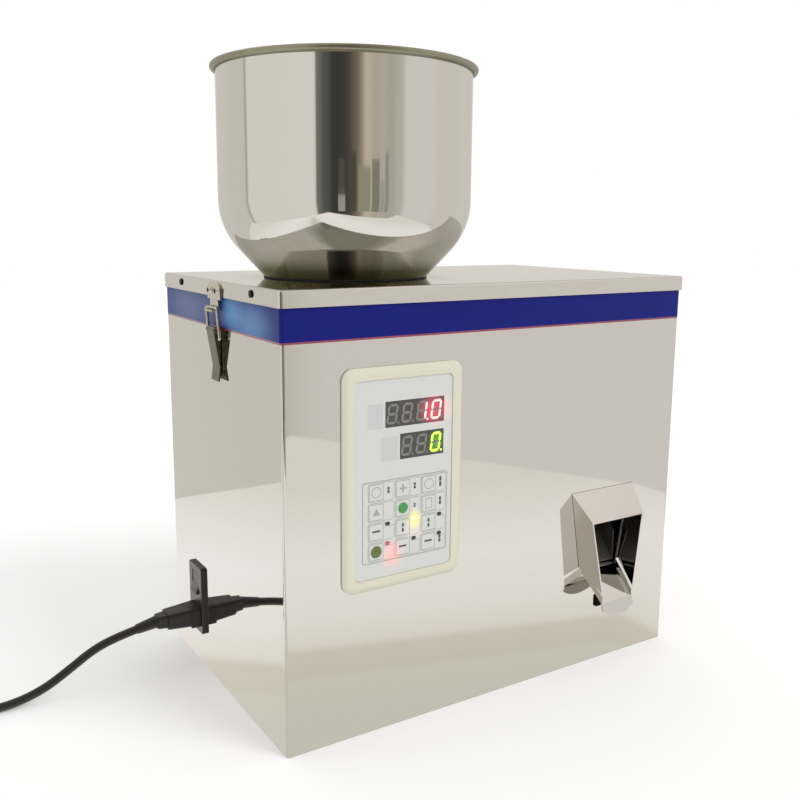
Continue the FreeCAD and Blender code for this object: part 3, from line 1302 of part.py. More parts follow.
def inner_chute():
    """Open trough that guides the granules from under the bucket to the front opening."""
    foot_y = front_y + SHEET + PANEL_GAP + CHUTE_T + CHUTE_GAP
    low_z = CHUTE_SILL_Z
    run = INNER_CHUTE_Y - foot_y
    half_low = TRAY_BACK_HALF
    half_high = BUCKET_HALF_W + 4
    high_z = low_z + run

    def shape(inset, lift):
        low = [vec(CHUTE_X - half_low + inset, foot_y, low_z + lift),
               vec(CHUTE_X + half_low - inset, foot_y, low_z + lift),
               vec(CHUTE_X + half_low - inset, foot_y, low_z + TROUGH_H),
               vec(CHUTE_X - half_low + inset, foot_y, low_z + TROUGH_H)]
        high = [vec(CHUTE_X - half_high + inset, INNER_CHUTE_Y, high_z + lift),
                vec(CHUTE_X + half_high - inset, INNER_CHUTE_Y, high_z + lift),
                vec(CHUTE_X + half_high - inset, INNER_CHUTE_Y, high_z + TROUGH_H),
                vec(CHUTE_X - half_high + inset, INNER_CHUTE_Y, high_z + TROUGH_H)]
        return Part.makeLoft([Part.makePolygon(low + [low[0]]), Part.makePolygon(high + [high[0]])],
                             True, True)

    drop = CHUTE_T * math.sqrt(2)
    outer = shape(0, -drop)
    inner = shape(CHUTE_T, 0)
    open_top = shape(CHUTE_T, 0)
    open_top.translate(vec(0, 0, 2))
    trough = outer.cut(inner).cut(open_top)
    leg_y = foot_y + run * 0.55
    leg_z = low_z + run * 0.55 - drop
    leg = cross_prism([(leg_y, SHEET), (leg_y + POST_T, SHEET),
                       (leg_y + POST_T, leg_z + POST_T + drop / 2), (leg_y, leg_z + drop / 2)],
                      CHUTE_X - TROUGH_LEG_HALF_W, CHUTE_X + TROUGH_LEG_HALF_W)
    return trough.fuse(leg)


# Power supply
def power_supply():
    """Metal-cased supply that fills the room from the rubber mounts to the back."""
    x0 = SUPPLY_X - SUPPLY_W / 2
    y0 = BOWL_Y + FEEDER_BASE_W / 2 + SUPPLY_MOUNT_GAP
    y1 = rear_y - SUPPLY_REAR_GAP
    case = block(x0, x0 + SUPPLY_W, y0, y1, SHEET, SHEET + SUPPLY_H)
    strip = block(x0 - STRIP_L, x0, y0 + STRIP_INSET, y1 - STRIP_INSET, SHEET, SHEET + STRIP_H)
    return case.fuse(strip)


def all_pieces():
    """Every named piece with the function or shape that makes it."""
    pieces = {
        "cabinet_shell": cabinet_shell(),
        "base_plate": base_plate(),
        "back_panel": back_panel(),
        "back_screws": back_screws(),
        "blue_band": blue_band(),
        "band_trim": band_trim(),
        "lid_cover": lid_cover(),
        "hopper_bowl": hopper_bowl(),
        "bowl_clamp_ring": bowl_clamp_ring(),
        "skirt_screws": skirt_screws(),
        "control_bezel": control_bezel(),
        "membrane_overlay": membrane_overlay(),
        "red_display": display_module("red_display"),
        "green_display": display_module("green_display"),
        "panel_leds": panel_leds(),
        "control_board": control_board(),
        "chute_hood": chute_hood(),
        "chute_floor": chute_floor(),
        "bag_sensor": bag_sensor(),
        "inlet_module": inlet_module(),
        "inlet_blades": inlet_blades(),
        "rocker_switch": rocker_switch(),
        "cord_connector": cord_connector(),
        "cord_tube": cord_tube(),
        "cord_coil": cord_coil(),
        "mains_plug": mains_plug(),
        "feeder_pan": feeder_pan(),
        "feeder_armature": feeder_armature(),
        "leaf_springs": leaf_springs(),
        "feeder_base": feeder_base(),
        "feeder_mounts": feeder_mounts(),
        "feeder_magnet": feeder_magnet(),
        "weigh_bucket": weigh_bucket(),
        "bucket_flap": bucket_flap(),
        "solenoid_plunger": solenoid_plunger(),
        "flap_solenoid": flap_solenoid(),
        "load_cell": load_cell(),
        "load_cell_post": load_cell_post(),
        "inner_chute": inner_chute(),
        "power_supply": power_supply(),
    }
    latch = {"latch_catch": latch_catch(), "latch_base": latch_base(), "latch_lever": latch_lever(),
             "latch_bail": latch_bail()}
    for name, shape in latch.items():
        pieces[name + "_left"] = shape
        pieces[name + "_right"] = mirrored(shape)
    for row in range(KEY_ROWS):
        for col in range(KEY_COLS):
            pieces["key_r%d_c%d" % (KEY_ROWS - row, col + 1)] = membrane_key(row, col)
    return pieces


os.makedirs("parts", exist_ok=True)
for piece_name, piece in all_pieces().items():
    if not piece.isValid():
        print("not valid:", piece_name)
    piece.exportStep("parts/%s.step" % piece_name)
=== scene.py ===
# %% [markdown]
# # A bench-top granule filling machine
# The machine weighs out granules: a spun steel bowl feeds a shaking pan inside a folded steel
# cabinet, and each weighed portion leaves through the chute in the front. Its solids come from
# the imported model. This notebook dresses them: it adds the finishes and the small forms that
# make polished sheet, spun steel, moulded plastic and printed film read as what they are.

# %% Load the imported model
import json
import math

import bmesh
import bpy
from mathutils import Matrix, Vector


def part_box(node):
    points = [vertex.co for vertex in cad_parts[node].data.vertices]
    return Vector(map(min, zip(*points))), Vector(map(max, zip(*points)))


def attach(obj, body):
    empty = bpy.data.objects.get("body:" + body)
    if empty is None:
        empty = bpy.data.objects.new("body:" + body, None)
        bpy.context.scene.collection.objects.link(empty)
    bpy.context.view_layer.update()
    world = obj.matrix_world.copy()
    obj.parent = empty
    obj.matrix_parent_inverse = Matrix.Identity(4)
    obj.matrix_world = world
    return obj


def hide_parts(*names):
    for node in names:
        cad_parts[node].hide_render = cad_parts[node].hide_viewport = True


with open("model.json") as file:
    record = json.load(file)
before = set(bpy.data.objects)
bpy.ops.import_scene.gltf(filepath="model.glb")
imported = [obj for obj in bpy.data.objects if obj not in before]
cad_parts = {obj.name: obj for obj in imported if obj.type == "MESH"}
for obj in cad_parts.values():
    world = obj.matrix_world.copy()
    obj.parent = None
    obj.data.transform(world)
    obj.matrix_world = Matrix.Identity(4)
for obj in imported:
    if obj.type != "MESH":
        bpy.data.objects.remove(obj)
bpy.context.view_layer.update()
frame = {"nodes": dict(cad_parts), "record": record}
nodes = frame["nodes"]
record = frame["record"]
MM = 0.001
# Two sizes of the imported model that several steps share, in mm: where the bowl's axis stands along
# x, and the height of the lid's top.
BOWL_X = -78.0
LID_TOP = 334.0
body_by_node = {node: body for body, members in record["behaviour"]["bodies"].items()
                for node in members}
slot_by_node = {part["node"]: part["material_slot"] for part in record["subparts"]}


# %% [markdown]
# ## Camera
# The viewing angle is a fact of the photograph, so it comes first. It was solved from the
# cabinet's edges: the camera stands left of the front, a little above the lid's height, and
# turns about a point inside the cabinet. Building the rotation from three axes keeps the small
# roll exact, and a small shift keeps upright edges as upright as they are in the photograph.

# %% Place the camera
AZIMUTH = math.radians(-32.147)
ELEVATION = math.radians(9.932)
ROLL = math.radians(0.449)
DISTANCE = 792.08 * MM
TARGET = Vector((-24.417, 0.0, 241.302)) * MM
SENSOR_MM = 36.0
PICTURE_PX = 800
FOCAL_PX = 911.14
SHIFT_PX = -17.93

back = Vector((math.sin(AZIMUTH) * math.cos(ELEVATION),
               -math.cos(AZIMUTH) * math.cos(ELEVATION), math.sin(ELEVATION)))
level_right = Vector((0, 0, 1)).cross(back).normalized()
level_up = back.cross(level_right)
right = math.cos(ROLL) * level_right + math.sin(ROLL) * level_up
up = math.cos(ROLL) * level_up - math.sin(ROLL) * level_right

camera_data = bpy.data.cameras.new("camera")
camera_data.sensor_width = SENSOR_MM
camera_data.sensor_fit = "HORIZONTAL"
camera_data.lens = FOCAL_PX / PICTURE_PX * SENSOR_MM
camera_data.shift_y = SHIFT_PX / PICTURE_PX
camera_data.clip_start = 0.01
camera = bpy.data.objects.new("camera", camera_data)
turn = Matrix((right, up, back)).transposed().to_4x4()
camera.matrix_world = Matrix.Translation(TARGET + back * DISTANCE) @ turn
bpy.context.scene.collection.objects.link(camera)
bpy.context.scene.camera = camera
print("camera at", [round(v, 3) for v in camera.matrix_world.translation])


# %% [markdown]
# ## Helpers
# Colours are written as sRGB hex, the way a paint chart gives them, and one function turns them
# to the linear values that the shader works in. One function adds a shader node with its
# settings and links, and one starts a material with the settings that differ from the usual.

# %% Colour and node helpers
def colour(code):
    """Linear RGBA from an sRGB hex code."""
    values = []
    for start in (1, 3, 5):
        value = int(code[start:start + 2], 16) / 255
        values.append(value / 12.92 if value <= 0.04045 else ((value + 0.055) / 1.055) ** 2.4)
    return (*values, 1.0)


def add_node(tree, kind, settings=None, links=None):
    """One shader node: settings go to its properties or inputs, links to its inputs."""
    node = tree.nodes.new(kind)
    for name, value in (settings or {}).items():
        if isinstance(name, str) and hasattr(node, name):
            setattr(node, name, value)
        else:
            node.inputs[name].default_value = value
    for name, source in (links or {}).items():
        tree.links.new(source, node.inputs[name])
    return node


def start_material(name, code, metallic=0.0, roughness=0.4, **more):
    """Material with a Principled shader, and the Object coordinates that patterns read."""
    material = bpy.data.materials.new(name)
    material.use_nodes = True
    tree = material.node_tree
    tree.nodes.clear()
    settings = {"Base Color": colour(code), "Metallic": metallic, "Roughness": roughness}
    settings.update({key.replace("_", " "): value for key, value in more.items()})
    shader = add_node(tree, "ShaderNodeBsdfPrincipled", settings)
    add_node(tree, "ShaderNodeOutputMaterial", links={"Surface": shader.outputs["BSDF"]})
    place = add_node(tree, "ShaderNodeTexCoord").outputs["Object"]
    return material, tree, shader, place


# %% [markdown]
# Most finishes here are one pattern used three ways: it lifts the surface a little, makes some
# spots duller than others, and shifts the colour slightly. One function makes such a finish. It
# gets the pattern's real size in millimetres, and a stretch along each axis, because brushing,
# rolling and spinning all draw a grain out in one direction. A grain finer than about half a
# millimetre wouldn't show, so it is drawn that coarse.

# %% Finish made from one pattern
def patterned(name, code, other, metallic, roughness, size_mm, stretch=(1, 1, 1), lift=0.1,
              spread=0.06, kind="ShaderNodeTexNoise", **more):
    """Finish whose colour, dullness and relief all follow one pattern of a real size."""
    material, tree, shader, place = start_material(name, code, metallic, roughness, **more)
    scale = [1 / (size_mm * MM * factor) for factor in stretch]
    mapped = add_node(tree, "ShaderNodeMapping", {"Scale": scale}, {"Vector": place})
    pattern = add_node(tree, kind, {"Scale": 1.0}, {"Vector": mapped.outputs["Vector"]})
    value = pattern.outputs["Distance" if kind == "ShaderNodeTexVoronoi" else "Fac"]
    ramp = add_node(tree, "ShaderNodeValToRGB", links={"Fac": value})
    ramp.color_ramp.elements[0].position = 0.3
    ramp.color_ramp.elements[0].color = colour(other)
    ramp.color_ramp.elements[1].position = 0.7
    ramp.color_ramp.elements[1].color = colour(code)
    dull = add_node(tree, "ShaderNodeMapRange", {"From Min": 0.3, "From Max": 0.7,
                                                 "To Min": max(roughness - spread, 0.01),
                                                 "To Max": roughness + spread}, {"Value": value})
    bump = add_node(tree, "ShaderNodeBump", {"Strength": lift, "Distance": 0.1 * MM},
                    {"Height": value})
    tree.links.new(ramp.outputs["Color"], shader.inputs["Base Color"])
    tree.links.new(dull.outputs["Result"], shader.inputs["Roughness"])
    tree.links.new(bump.outputs["Normal"], shader.inputs["Normal"])
    return material


# %% [markdown]
# Painted shade, painted reflection, painted glare and the glow of a lamp are soft spots on a
# finish: each fades out from a known centre.
# A spot is given by its centre and its reach in millimetres along x, y and z, its colour and its
# strength. A reach of 0 leaves an axis out, and a strength over 1 keeps the spot's middle full.

# %% Soft spots
def soft_spots(tree, place, base, spots):
    """Fades spots into a base colour, and gives back the colour and how far it has faded."""
    fade_all = None
    for centre, reach, tint, strength in spots:
        offset = add_node(tree, "ShaderNodeVectorMath",
                          {"operation": "SUBTRACT", 1: tuple(Vector(centre) * MM)}, {0: place})
        inverse = tuple(1 / (size * MM) if size else 0.0 for size in reach)
        sized = add_node(tree, "ShaderNodeVectorMath", {"operation": "MULTIPLY", 1: inverse},
                         {0: offset.outputs["Vector"]})
        away = add_node(tree, "ShaderNodeVectorMath", {"operation": "LENGTH"},
                        {0: sized.outputs["Vector"]})
        fade = add_node(tree, "ShaderNodeMapRange", {"interpolation_type": "SMOOTHERSTEP",
                                                     "From Min": 1.0, "From Max": 0.0,
                                                     "To Max": strength},
                        {"Value": away.outputs["Value"]}).outputs["Result"]
        mix = add_node(tree, "ShaderNodeMix", {"data_type": "RGBA", 7: colour(tint)},
                       {0: fade, 6: base})
        base = mix.outputs[2]
        if fade_all is not None:
            fade = add_node(tree, "ShaderNodeMath", {"operation": "MAXIMUM"},
                            {0: fade_all, 1: fade}).outputs["Value"]
        fade_all = fade
    return base, fade_all


def open_finish(material):
    """Tree of a patterned finish, and its nodes by their type, so that more can be linked."""
    tree = material.node_tree
    return tree, {node.type: node for node in tree.nodes}


def spotted(material, spots):
    """Fades spots into the colour of a patterned finish, and gives back what soft_spots does."""
    tree, found = open_finish(material)
    base, fade = soft_spots(tree, found["TEX_COORD"].outputs["Object"],
                            found["VALTORGB"].outputs["Color"], spots)
    tree.links.new(base, found["BSDF_PRINCIPLED"].inputs["Base Color"])
    return base, fade


# %% [markdown]
# A piece is a mesh with its place in its vertices and its object at the origin. Its edges are
# sharp where the faces turn by more than an angle and smooth elsewhere, as a worked part is.

# %% Piece helpers
def smooth_below(bm, degrees):
    """Smooth shading, with edges kept sharp where the faces turn by more than an angle."""
    limit = math.radians(degrees)
    for face in bm.faces:
        face.smooth = True
    for edge in bm.edges:
        if len(edge.link_faces) == 2 and edge.calc_face_angle(0) > limit:
            edge.smooth = False


def mesh_object(name, bm, material):
    """Object in the scene from a bmesh, which is freed, with its material."""
    mesh = bpy.data.meshes.new(name)
    bm.to_mesh(mesh)
    bm.free()
    mesh.materials.append(material)
    item = bpy.data.objects.new(name, mesh)
    bpy.context.scene.collection.objects.link(item)
    return item


def finish_piece(name, bm, material, body, replaced=(), degrees=35):
    """Piece of the machine: shaded, dressed, riding on a body and standing for nodes."""
    smooth_below(bm, degrees)
    piece = mesh_object(name, bm, material)
    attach(piece, body)
    if replaced:
        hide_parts(*replaced)
    return piece


def eased_copy(node_name, width_mm, material, segments=2, sharp=28):
    """Copy of a CAD node with its triangles joined to whole faces and its edges eased."""
    bm = bmesh.new()
    bm.from_mesh(nodes[node_name].data)
    bmesh.ops.remove_doubles(bm, verts=bm.verts, dist=0.002 * MM)
    bmesh.ops.dissolve_limit(bm, angle_limit=math.radians(0.6), verts=bm.verts, edges=bm.edges)
    edges = [edge for edge in bm.edges if len(edge.link_faces) == 2
             and edge.calc_face_angle(0) > math.radians(sharp)]
    bmesh.ops.bevel(bm, geom=edges, offset=width_mm * MM, offset_type="OFFSET",
                    segments=segments, profile=0.5, affect="EDGES", clamp_overlap=True,
                    material=-1)
    bmesh.ops.triangulate(bm, faces=[face for face in bm.faces if len(face.verts) > 4])
    piece = finish_piece("eased_" + node_name, bm, material, body_by_node[node_name],
                         [node_name])
    weight = piece.modifiers.new("flat_faces_first", "WEIGHTED_NORMAL")
    weight.keep_sharp = True
    return piece


# %% [markdown]
# ## Black rubbers and plastics
# The lead's sheath and the moulded connector are soft PVC: black, with a broad, dull sheen and a
# faint grain from the tool. The inlet and its rocker are harder, glossier moulded plastic.

# %% Black finishes
pvc_sheath = patterned("pvc_sheath", "#1d1c1b", "#161514", 0.0, 0.42, 0.9, lift=0.3, IOR=1.5)
moulded_black = patterned("moulded_black_nylon", "#201e1d", "#191716", 0.0, 0.32, 0.5, lift=0.2,
                          IOR=1.5)
sensor_black = patterned("moulded_black_sensor", "#0e0d0c", "#0b0a0a", 0.0, 0.45, 0.5, lift=0.15,
                         Specular_IOR_Level=0.05)
black_screw = patterned("blackened_screw_steel", "#141210", "#0f0e0d", 0.3, 0.4, 0.6, lift=0.2,
                        Specular_IOR_Level=0.2)
mount_rubber = patterned("mount_rubber", "#191919", "#232323", 0.0, 0.75, 1.2, lift=0.4)
print("black finishes made")


# %% [markdown]
# ## The lead
# A mains lead droops out of its connector, reaches the table within a hand's width and runs out
# of the picture on the left. What the picture doesn't show is wound into a neat coil just past
# its edge, as it would be for storage. The real thing is one smooth curve, so it is one NURBS
# spline: the route's points, then the coil's turns from a loop, then the plug.

# %% Route and coil of the lead
CORD_R = 3.5
ROUTE = [(-244.742, 59.8, 41.548), (-261.976, 59.8, 38.509), (-281.0, 59.4, 32.5),
         (-300.5, 58.8, 20.6), (-321.0, 58.2, 9.4), (-344.0, 57.8, 3.6), (-366.0, 58.2, 3.5),
         (-388.0, 58.0, 3.5)]
COIL_CENTRE = (-412.0, 96.5)
COIL_TRACKS = [(42.0, 3.6), (35.0, 3.6), (35.0, 10.6), (42.0, 10.6), (35.0, 17.5), (42.0, 17.4)]
COIL_POINTS = 16
COIL_TURNS = 5.25
# The first turn widens from the start radius over a share of it, and each turn changes to the
# next one's track after another share.
COIL_START_R = 38.5
WIDENS_OVER = 0.2
CHANGES_FROM = 0.75
PLUG_START = (-450.5, 120.75, 13.5)

lead_points = list(ROUTE)
swell = 1 / (0.75 + 0.25 * math.cos(2 * math.pi / COIL_POINTS))
for step in range(int(COIL_TURNS * COIL_POINTS) + 1):
    turns = step / COIL_POINTS
    track = min(int(turns), len(COIL_TRACKS) - 1)
    share = turns - track
    radius, height = COIL_TRACKS[track]
    if track == 0:
        blend = min(share / WIDENS_OVER, 1.0)
        radius = COIL_START_R + (radius - COIL_START_R) * blend
    if share > CHANGES_FROM and track + 1 < len(COIL_TRACKS):
        next_radius, next_height = COIL_TRACKS[track + 1]
        blend = (share - CHANGES_FROM) / (1 - CHANGES_FROM)
        radius += (next_radius - radius) * blend
        height += (next_height - height) * blend
    angle = -math.pi / 2 - 2 * math.pi * turns
    lead_points.append((COIL_CENTRE[0] + radius * swell * math.cos(angle),
                        COIL_CENTRE[1] + radius * swell * math.sin(angle), height))
lead_points += [(-453.2, 108.0, 16.4), PLUG_START]

lead_curve = bpy.data.curves.new("mains_lead", "CURVE")
lead_curve.dimensions = "3D"
lead_curve.bevel_depth = CORD_R * MM
lead_curve.bevel_resolution = 5
lead_curve.use_fill_caps = True
lead_curve.resolution_u = 8
spline = lead_curve.splines.new("NURBS")
spline.points.add(len(lead_points) - 1)
for point, place in zip(spline.points, lead_points):
    point.co = (*(Vector(place) * MM), 1.0)
spline.order_u = 3
spline.use_endpoint_u = True
lead_curve.materials.append(pvc_sheath)
lead = bpy.data.objects.new("mains_lead", lead_curve)
bpy.context.scene.collection.objects.link(lead)
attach(lead, "cabinet")
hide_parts("cord_tube", "cord_coil")
print("lead points", len(lead_points))


# %% [markdown]
# The connector and the plug are moulded onto the lead. Their CAD solids have the right shape but
# knife-sharp edges, which no mould gives, so each is copied with its edges eased.

# %% Connector and plug
connector = eased_copy("cord_connector", 0.7, pvc_sheath, segments=3)
plug = eased_copy("mains_plug", 0.6, pvc_sheath, segments=3)
print("connector faces", len(connector.data.polygons), "plug faces", len(plug.data.polygons))


# %% [markdown]
# ## Room and light
# Polished steel has hardly any colour of its own: it shows the room. So the room comes before
# the steel. The photograph's panels show a pale wall, the edges of a pale table top and, in the
# round bowl, a dark doorway. The floor and the white background are what the camera sees, and
# the walls and the table top are what the steel sees. All of it is stage, not object.

# %% Stage helpers
def stage_mesh(name, bm, material, only_in_gloss=True):
    """Mesh object that is stage, by default one that nothing but a mirror shows."""
    item = mesh_object(name, bm, material)
    if only_in_gloss:
        item.visible_camera = False
        item.visible_diffuse = False
        item.visible_shadow = False
        item.visible_transmission = False
    return item


def tones_along(tree, value, stops, unit):
    """Tones by a value, from stops that each give a place in a unit and a colour."""
    first = stops[0][0]
    last = stops[-1][0]
    share = add_node(tree, "ShaderNodeMapRange", {"From Min": first * unit, "From Max": last * unit},
                     {"Value": value})
    ramp = add_node(tree, "ShaderNodeValToRGB", links={"Fac": share.outputs["Result"]})
    elements = ramp.color_ramp.elements
    while len(elements) < len(stops):
        elements.new(0.5)
    for element, (place_along, code) in zip(elements, stops):
        element.position = (place_along - first) / (last - first)
        element.color = colour(code)
    return ramp.outputs["Color"]


# %% Floor with the object's shadow
FLOOR_SIZE = 5.0
FLOOR_LIFT = 0.2
floor_paint, tree, shader, _ = start_material("pale_floor_paint", "#f3f3f3", roughness=0.9,
                                              Emission_Color=(1, 1, 1, 1))
light_path = add_node(tree, "ShaderNodeLightPath")
lifted = add_node(tree, "ShaderNodeMath", {"operation": "MULTIPLY", 1: FLOOR_LIFT},
                  {0: light_path.outputs["Is Camera Ray"]})
tree.links.new(lifted.outputs["Value"], shader.inputs["Emission Strength"])
bm = bmesh.new()
bmesh.ops.create_grid(bm, x_segments=1, y_segments=1, size=FLOOR_SIZE)
floor = stage_mesh("floor", bm, floor_paint, only_in_gloss=False)
floor.visible_glossy = False

# %% Table top that the steel shows
ROOM_LIGHT = 1.4
TABLE_Z = -0.5
# The object's own soft shadow lies on the table towards the front left. Each of its sides: the way
# it faces, and how far out it lies in mm. The tones go by the distance past the nearest side.
SHADOW_SIDES = [((0.287, -0.958, 0), 222), ((-0.66, 0.752, 0), 177), ((1, 0, 0), 197)]
TABLE_TONES = [(-120, "#d1d3c8"), (-60, "#d6d5ca"), (-48, "#d5d1c5"), (-8, "#d9d4c9"),
               (6, "#e9e5de"), (60, "#f0eee9"), (200, "#f5f3f0"), (500, "#e5e2db")]
TABLE_CORNERS = [(-860, 530), (552, 530), (552, -486), (412, -735), (243, -1026), (60, -840),
                 (-860, -840)]
table_paint, tree, shader, place = start_material("pale_table_top", "#000000", roughness=1.0,
                                                  Emission_Strength=ROOM_LIGHT,
                                                  Specular_IOR_Level=0.0)
away = None
for facing, out in SHADOW_SIDES:
    along = add_node(tree, "ShaderNodeVectorMath", {"operation": "DOT_PRODUCT", 1: facing},
                     {0: place})
    past = add_node(tree, "ShaderNodeMath", {"operation": "SUBTRACT", 1: out * MM},
                    {0: along.outputs["Value"]})
    if away:
        past = add_node(tree, "ShaderNodeMath", {"operation": "MAXIMUM"},
                        {0: away.outputs["Value"], 1: past.outputs["Value"]})
    away = past
tree.links.new(tones_along(tree, away.outputs["Value"], TABLE_TONES, MM),
               shader.inputs["Emission Color"])
bm = bmesh.new()
corners = [bm.verts.new(Vector((x, y, TABLE_Z)) * MM) for x, y in TABLE_CORNERS]
bm.faces.new(corners)
bmesh.ops.recalc_face_normals(bm, faces=bm.faces)
stage_mesh("table_top", bm, table_paint)

# %% Walls that the steel shows
# The wall tones go by the direction in degrees, from straight to the front. Between two heights
# in metres they change to the ceiling's.
WALL_R = 3.0
CEILING_FROM = 1.5
CEILING_TO = 2.3
WALL_TONES = [(-180, "#bfbcb5"), (-160, "#cdcac3"), (-124, "#cfccc5"), (-122.6, "#aca7a5"),
              (-121.4, "#aca7a5"), (-120, "#e0dcd6"), (-55, "#e2ded8"), (-54, "#787770"),
              (-51, "#70706a"), (-48, "#5b5b55"), (-44, "#52544d"), (-41, "#41423e"),
              (-37, "#3a3b38"), (-31, "#41403d"), (-27, "#4d4842"), (-20, "#786e60"),
              (-16.5, "#988c7c"), (-13, "#c6bbaa"), (-9, "#c1b6a6"), (-5, "#b8afa2"),
              (3, "#bab4a9"), (6, "#b3afa4"), (10, "#b2aea5"), (14, "#bab8ad"), (19, "#bfbcb4"),
              (23, "#d8d4cf"), (50, "#dad7d3"), (60, "#d6cfca"), (100, "#d2cfc8"),
              (125, "#bfbcb5"), (180, "#bfbcb5")]
CEILING_TONES = [(-180, "#e2ded8"), (-75, "#dfdbd5"), (-58, "#a4a297"), (12, "#a4a297"),
                 (34, "#c4c0b7"), (46, "#efe9e4"), (78, "#efe9e4"), (95, "#c4c0b7"),
                 (150, "#c4c0b7"), (180, "#e2ded8")]
walls, tree, shader, place = start_material("pale_room_walls", "#000000", roughness=1.0,
                                            Emission_Strength=ROOM_LIGHT,
                                            Specular_IOR_Level=0.0)
split = add_node(tree, "ShaderNodeSeparateXYZ", links={"Vector": place})
minus_y = add_node(tree, "ShaderNodeMath", {"operation": "MULTIPLY", 1: -1.0},
                   {0: split.outputs["Y"]})
azimuth = add_node(tree, "ShaderNodeMath", {"operation": "ARCTAN2"},
                   {0: split.outputs["X"], 1: minus_y.outputs["Value"]}).outputs["Value"]
low_tones, high_tones = (tones_along(tree, azimuth, stops, math.radians(1))
                         for stops in (WALL_TONES, CEILING_TONES))
ceiling = add_node(tree, "ShaderNodeMapRange", {"From Min": CEILING_FROM, "From Max": CEILING_TO},
                   {"Value": split.outputs["Z"]})
blended = add_node(tree, "ShaderNodeMix", {"data_type": "RGBA"},
                   {0: ceiling.outputs["Result"], 6: low_tones, 7: high_tones})
tree.links.new(blended.outputs[2], shader.inputs["Emission Color"])
bm = bmesh.new()
bmesh.ops.create_uvsphere(bm, u_segments=96, v_segments=48, radius=WALL_R)
bmesh.ops.reverse_faces(bm, faces=bm.faces)
stage_mesh("room_walls", bm, walls)

# %% Things that stand across the table
# Uprights of several tones stand past the table's far side. The round bowl mirrors them as the
# streaks at the foot of its dark band. Each: direction in degrees as seen from the bowl, width,
# height and distance in mm, and tone.
FAR_THINGS = [(-31.7, 110, 485, 1260, "#4b4740"), (-31.7, 125, 412, 1250, "#9b988d"),
              (-22.5, 120, 500, 1250, "#47423a"), (-13.0, 215, 470, 1250, "#918e79"),
              (-3.5, 140, 485, 1250, "#817e74"), (2.2, 75, 440, 1250, "#a39e95"),
              (6.0, 65, 500, 1250, "#938f87")]
FAR_THING_T = 20
for index, (degrees, wide, high, far, code) in enumerate(FAR_THINGS):
    tone = start_material("far_thing_tone_%d" % index, "#000000", Emission_Color=colour(code),
                          Emission_Strength=ROOM_LIGHT)[0]
    heading = math.radians(degrees)
    spot = Vector((BOWL_X + math.sin(heading) * far, -math.cos(heading) * far, high / 2)) * MM
    size = Matrix.Diagonal((wide * MM, FAR_THING_T * MM, high * MM, 1))
    bm = bmesh.new()
    bmesh.ops.create_cube(bm, size=1.0, matrix=Matrix.Translation(spot)
                          @ Matrix.Rotation(heading, 4, "Z") @ size)
    stage_mesh("far_thing_%d" % index, bm, tone)
print("stage made, wall tones", len(WALL_TONES), "far things", len(FAR_THINGS))

# %% [markdown]
# The white background is the world as the camera and the gloss show it. The light that falls on
# the object from the world is a little lower, and one broad, soft lamp from the front right
# gives its shapes a shaded side, as the photograph's soft light does.

# %% World and lamp
WORLD_LIGHT = 0.74
world = bpy.data.worlds.new("studio")
bpy.context.scene.world = world
world.use_nodes = True
tree = world.node_tree
tree.nodes.clear()
paths = add_node(tree, "ShaderNodeLightPath")
seen = add_node(tree, "ShaderNodeMath", {"operation": "MAXIMUM"},
                {0: paths.outputs["Is Camera Ray"], 1: paths.outputs["Is Glossy Ray"]})
seen_too = add_node(tree, "ShaderNodeMath", {"operation": "MAXIMUM"},
                    {0: seen.outputs["Value"], 1: paths.outputs["Is Transmission Ray"]})
level = add_node(tree, "ShaderNodeMapRange", {"To Min": WORLD_LIGHT, "To Max": 1.0},
                 {"Value": seen_too.outputs["Value"]})
sky = add_node(tree, "ShaderNodeBackground", {"Color": (1, 1, 1, 1)},
               {"Strength": level.outputs["Result"]})
add_node(tree, "ShaderNodeOutputWorld", links={"Surface": sky.outputs["Background"]})
bpy.context.scene.view_settings.view_transform = "Standard"

lamp_data = bpy.data.lights.new("soft_lamp", "SUN")
lamp_data.energy = 0.9
lamp_data.angle = math.radians(25)
lamp = bpy.data.objects.new("soft_lamp", lamp_data)
lamp.matrix_world = Vector((0.45, -0.75, 0.9)).to_track_quat("Z", "Y").to_matrix().to_4x4()
lamp.visible_glossy = False
bpy.context.scene.collection.objects.link(lamp)
print("world and lamp made")


# %% [markdown]
# ## Polished and plain steel
# The cabinet is stainless sheet with a mirror finish: it shows the room sharply, with a very
# slow waviness from rolling and folding, and faint polishing lines, drawn coarser than the real
# ones, which couldn't be seen. The lid is the same sheet, with a painted dark reflection of the
# bowl's underside greying it round the bowl's foot. Inside, the pan and the bucket are the plain
# mill finish, which is duller and greyer, and the inner chute's steel is painted dark grey: a
# painted shade for its enclosed inside.

# %% Sheet finishes
def polished_sheet(name, code, other, roughness, wave_mm, line_mm):
    """Mirror-finished stainless sheet: slow waves and faint lines of polishing."""
    material = patterned(name, code, other, 1.0, roughness, line_mm, (9, 9, 1), 0.01, 0.012)
    tree, found = open_finish(material)
    waves = add_node(tree, "ShaderNodeTexNoise", {"Scale": 1 / (wave_mm * MM), "Detail": 0.0},
                     {"Vector": found["TEX_COORD"].outputs["Object"]})
    slow = add_node(tree, "ShaderNodeBump", {"Strength": 0.35, "Distance": 0.25 * MM},
                    {"Height": waves.outputs["Fac"], "Normal": found["BUMP"].outputs["Normal"]})
    tree.links.new(slow.outputs["Normal"], found["BSDF_PRINCIPLED"].inputs["Normal"])
    return material


POLISH_ROUGHNESS = 0.035
cabinet_sheet = polished_sheet("mirror_polished_sheet", "#cac7c3", "#c8c4c0", POLISH_ROUGHNESS,
                               140, 0.8)
lid_sheet = polished_sheet("mirror_polished_lid_sheet", "#cac7c2", "#c5c1bb", 0.045, 110, 0.8)
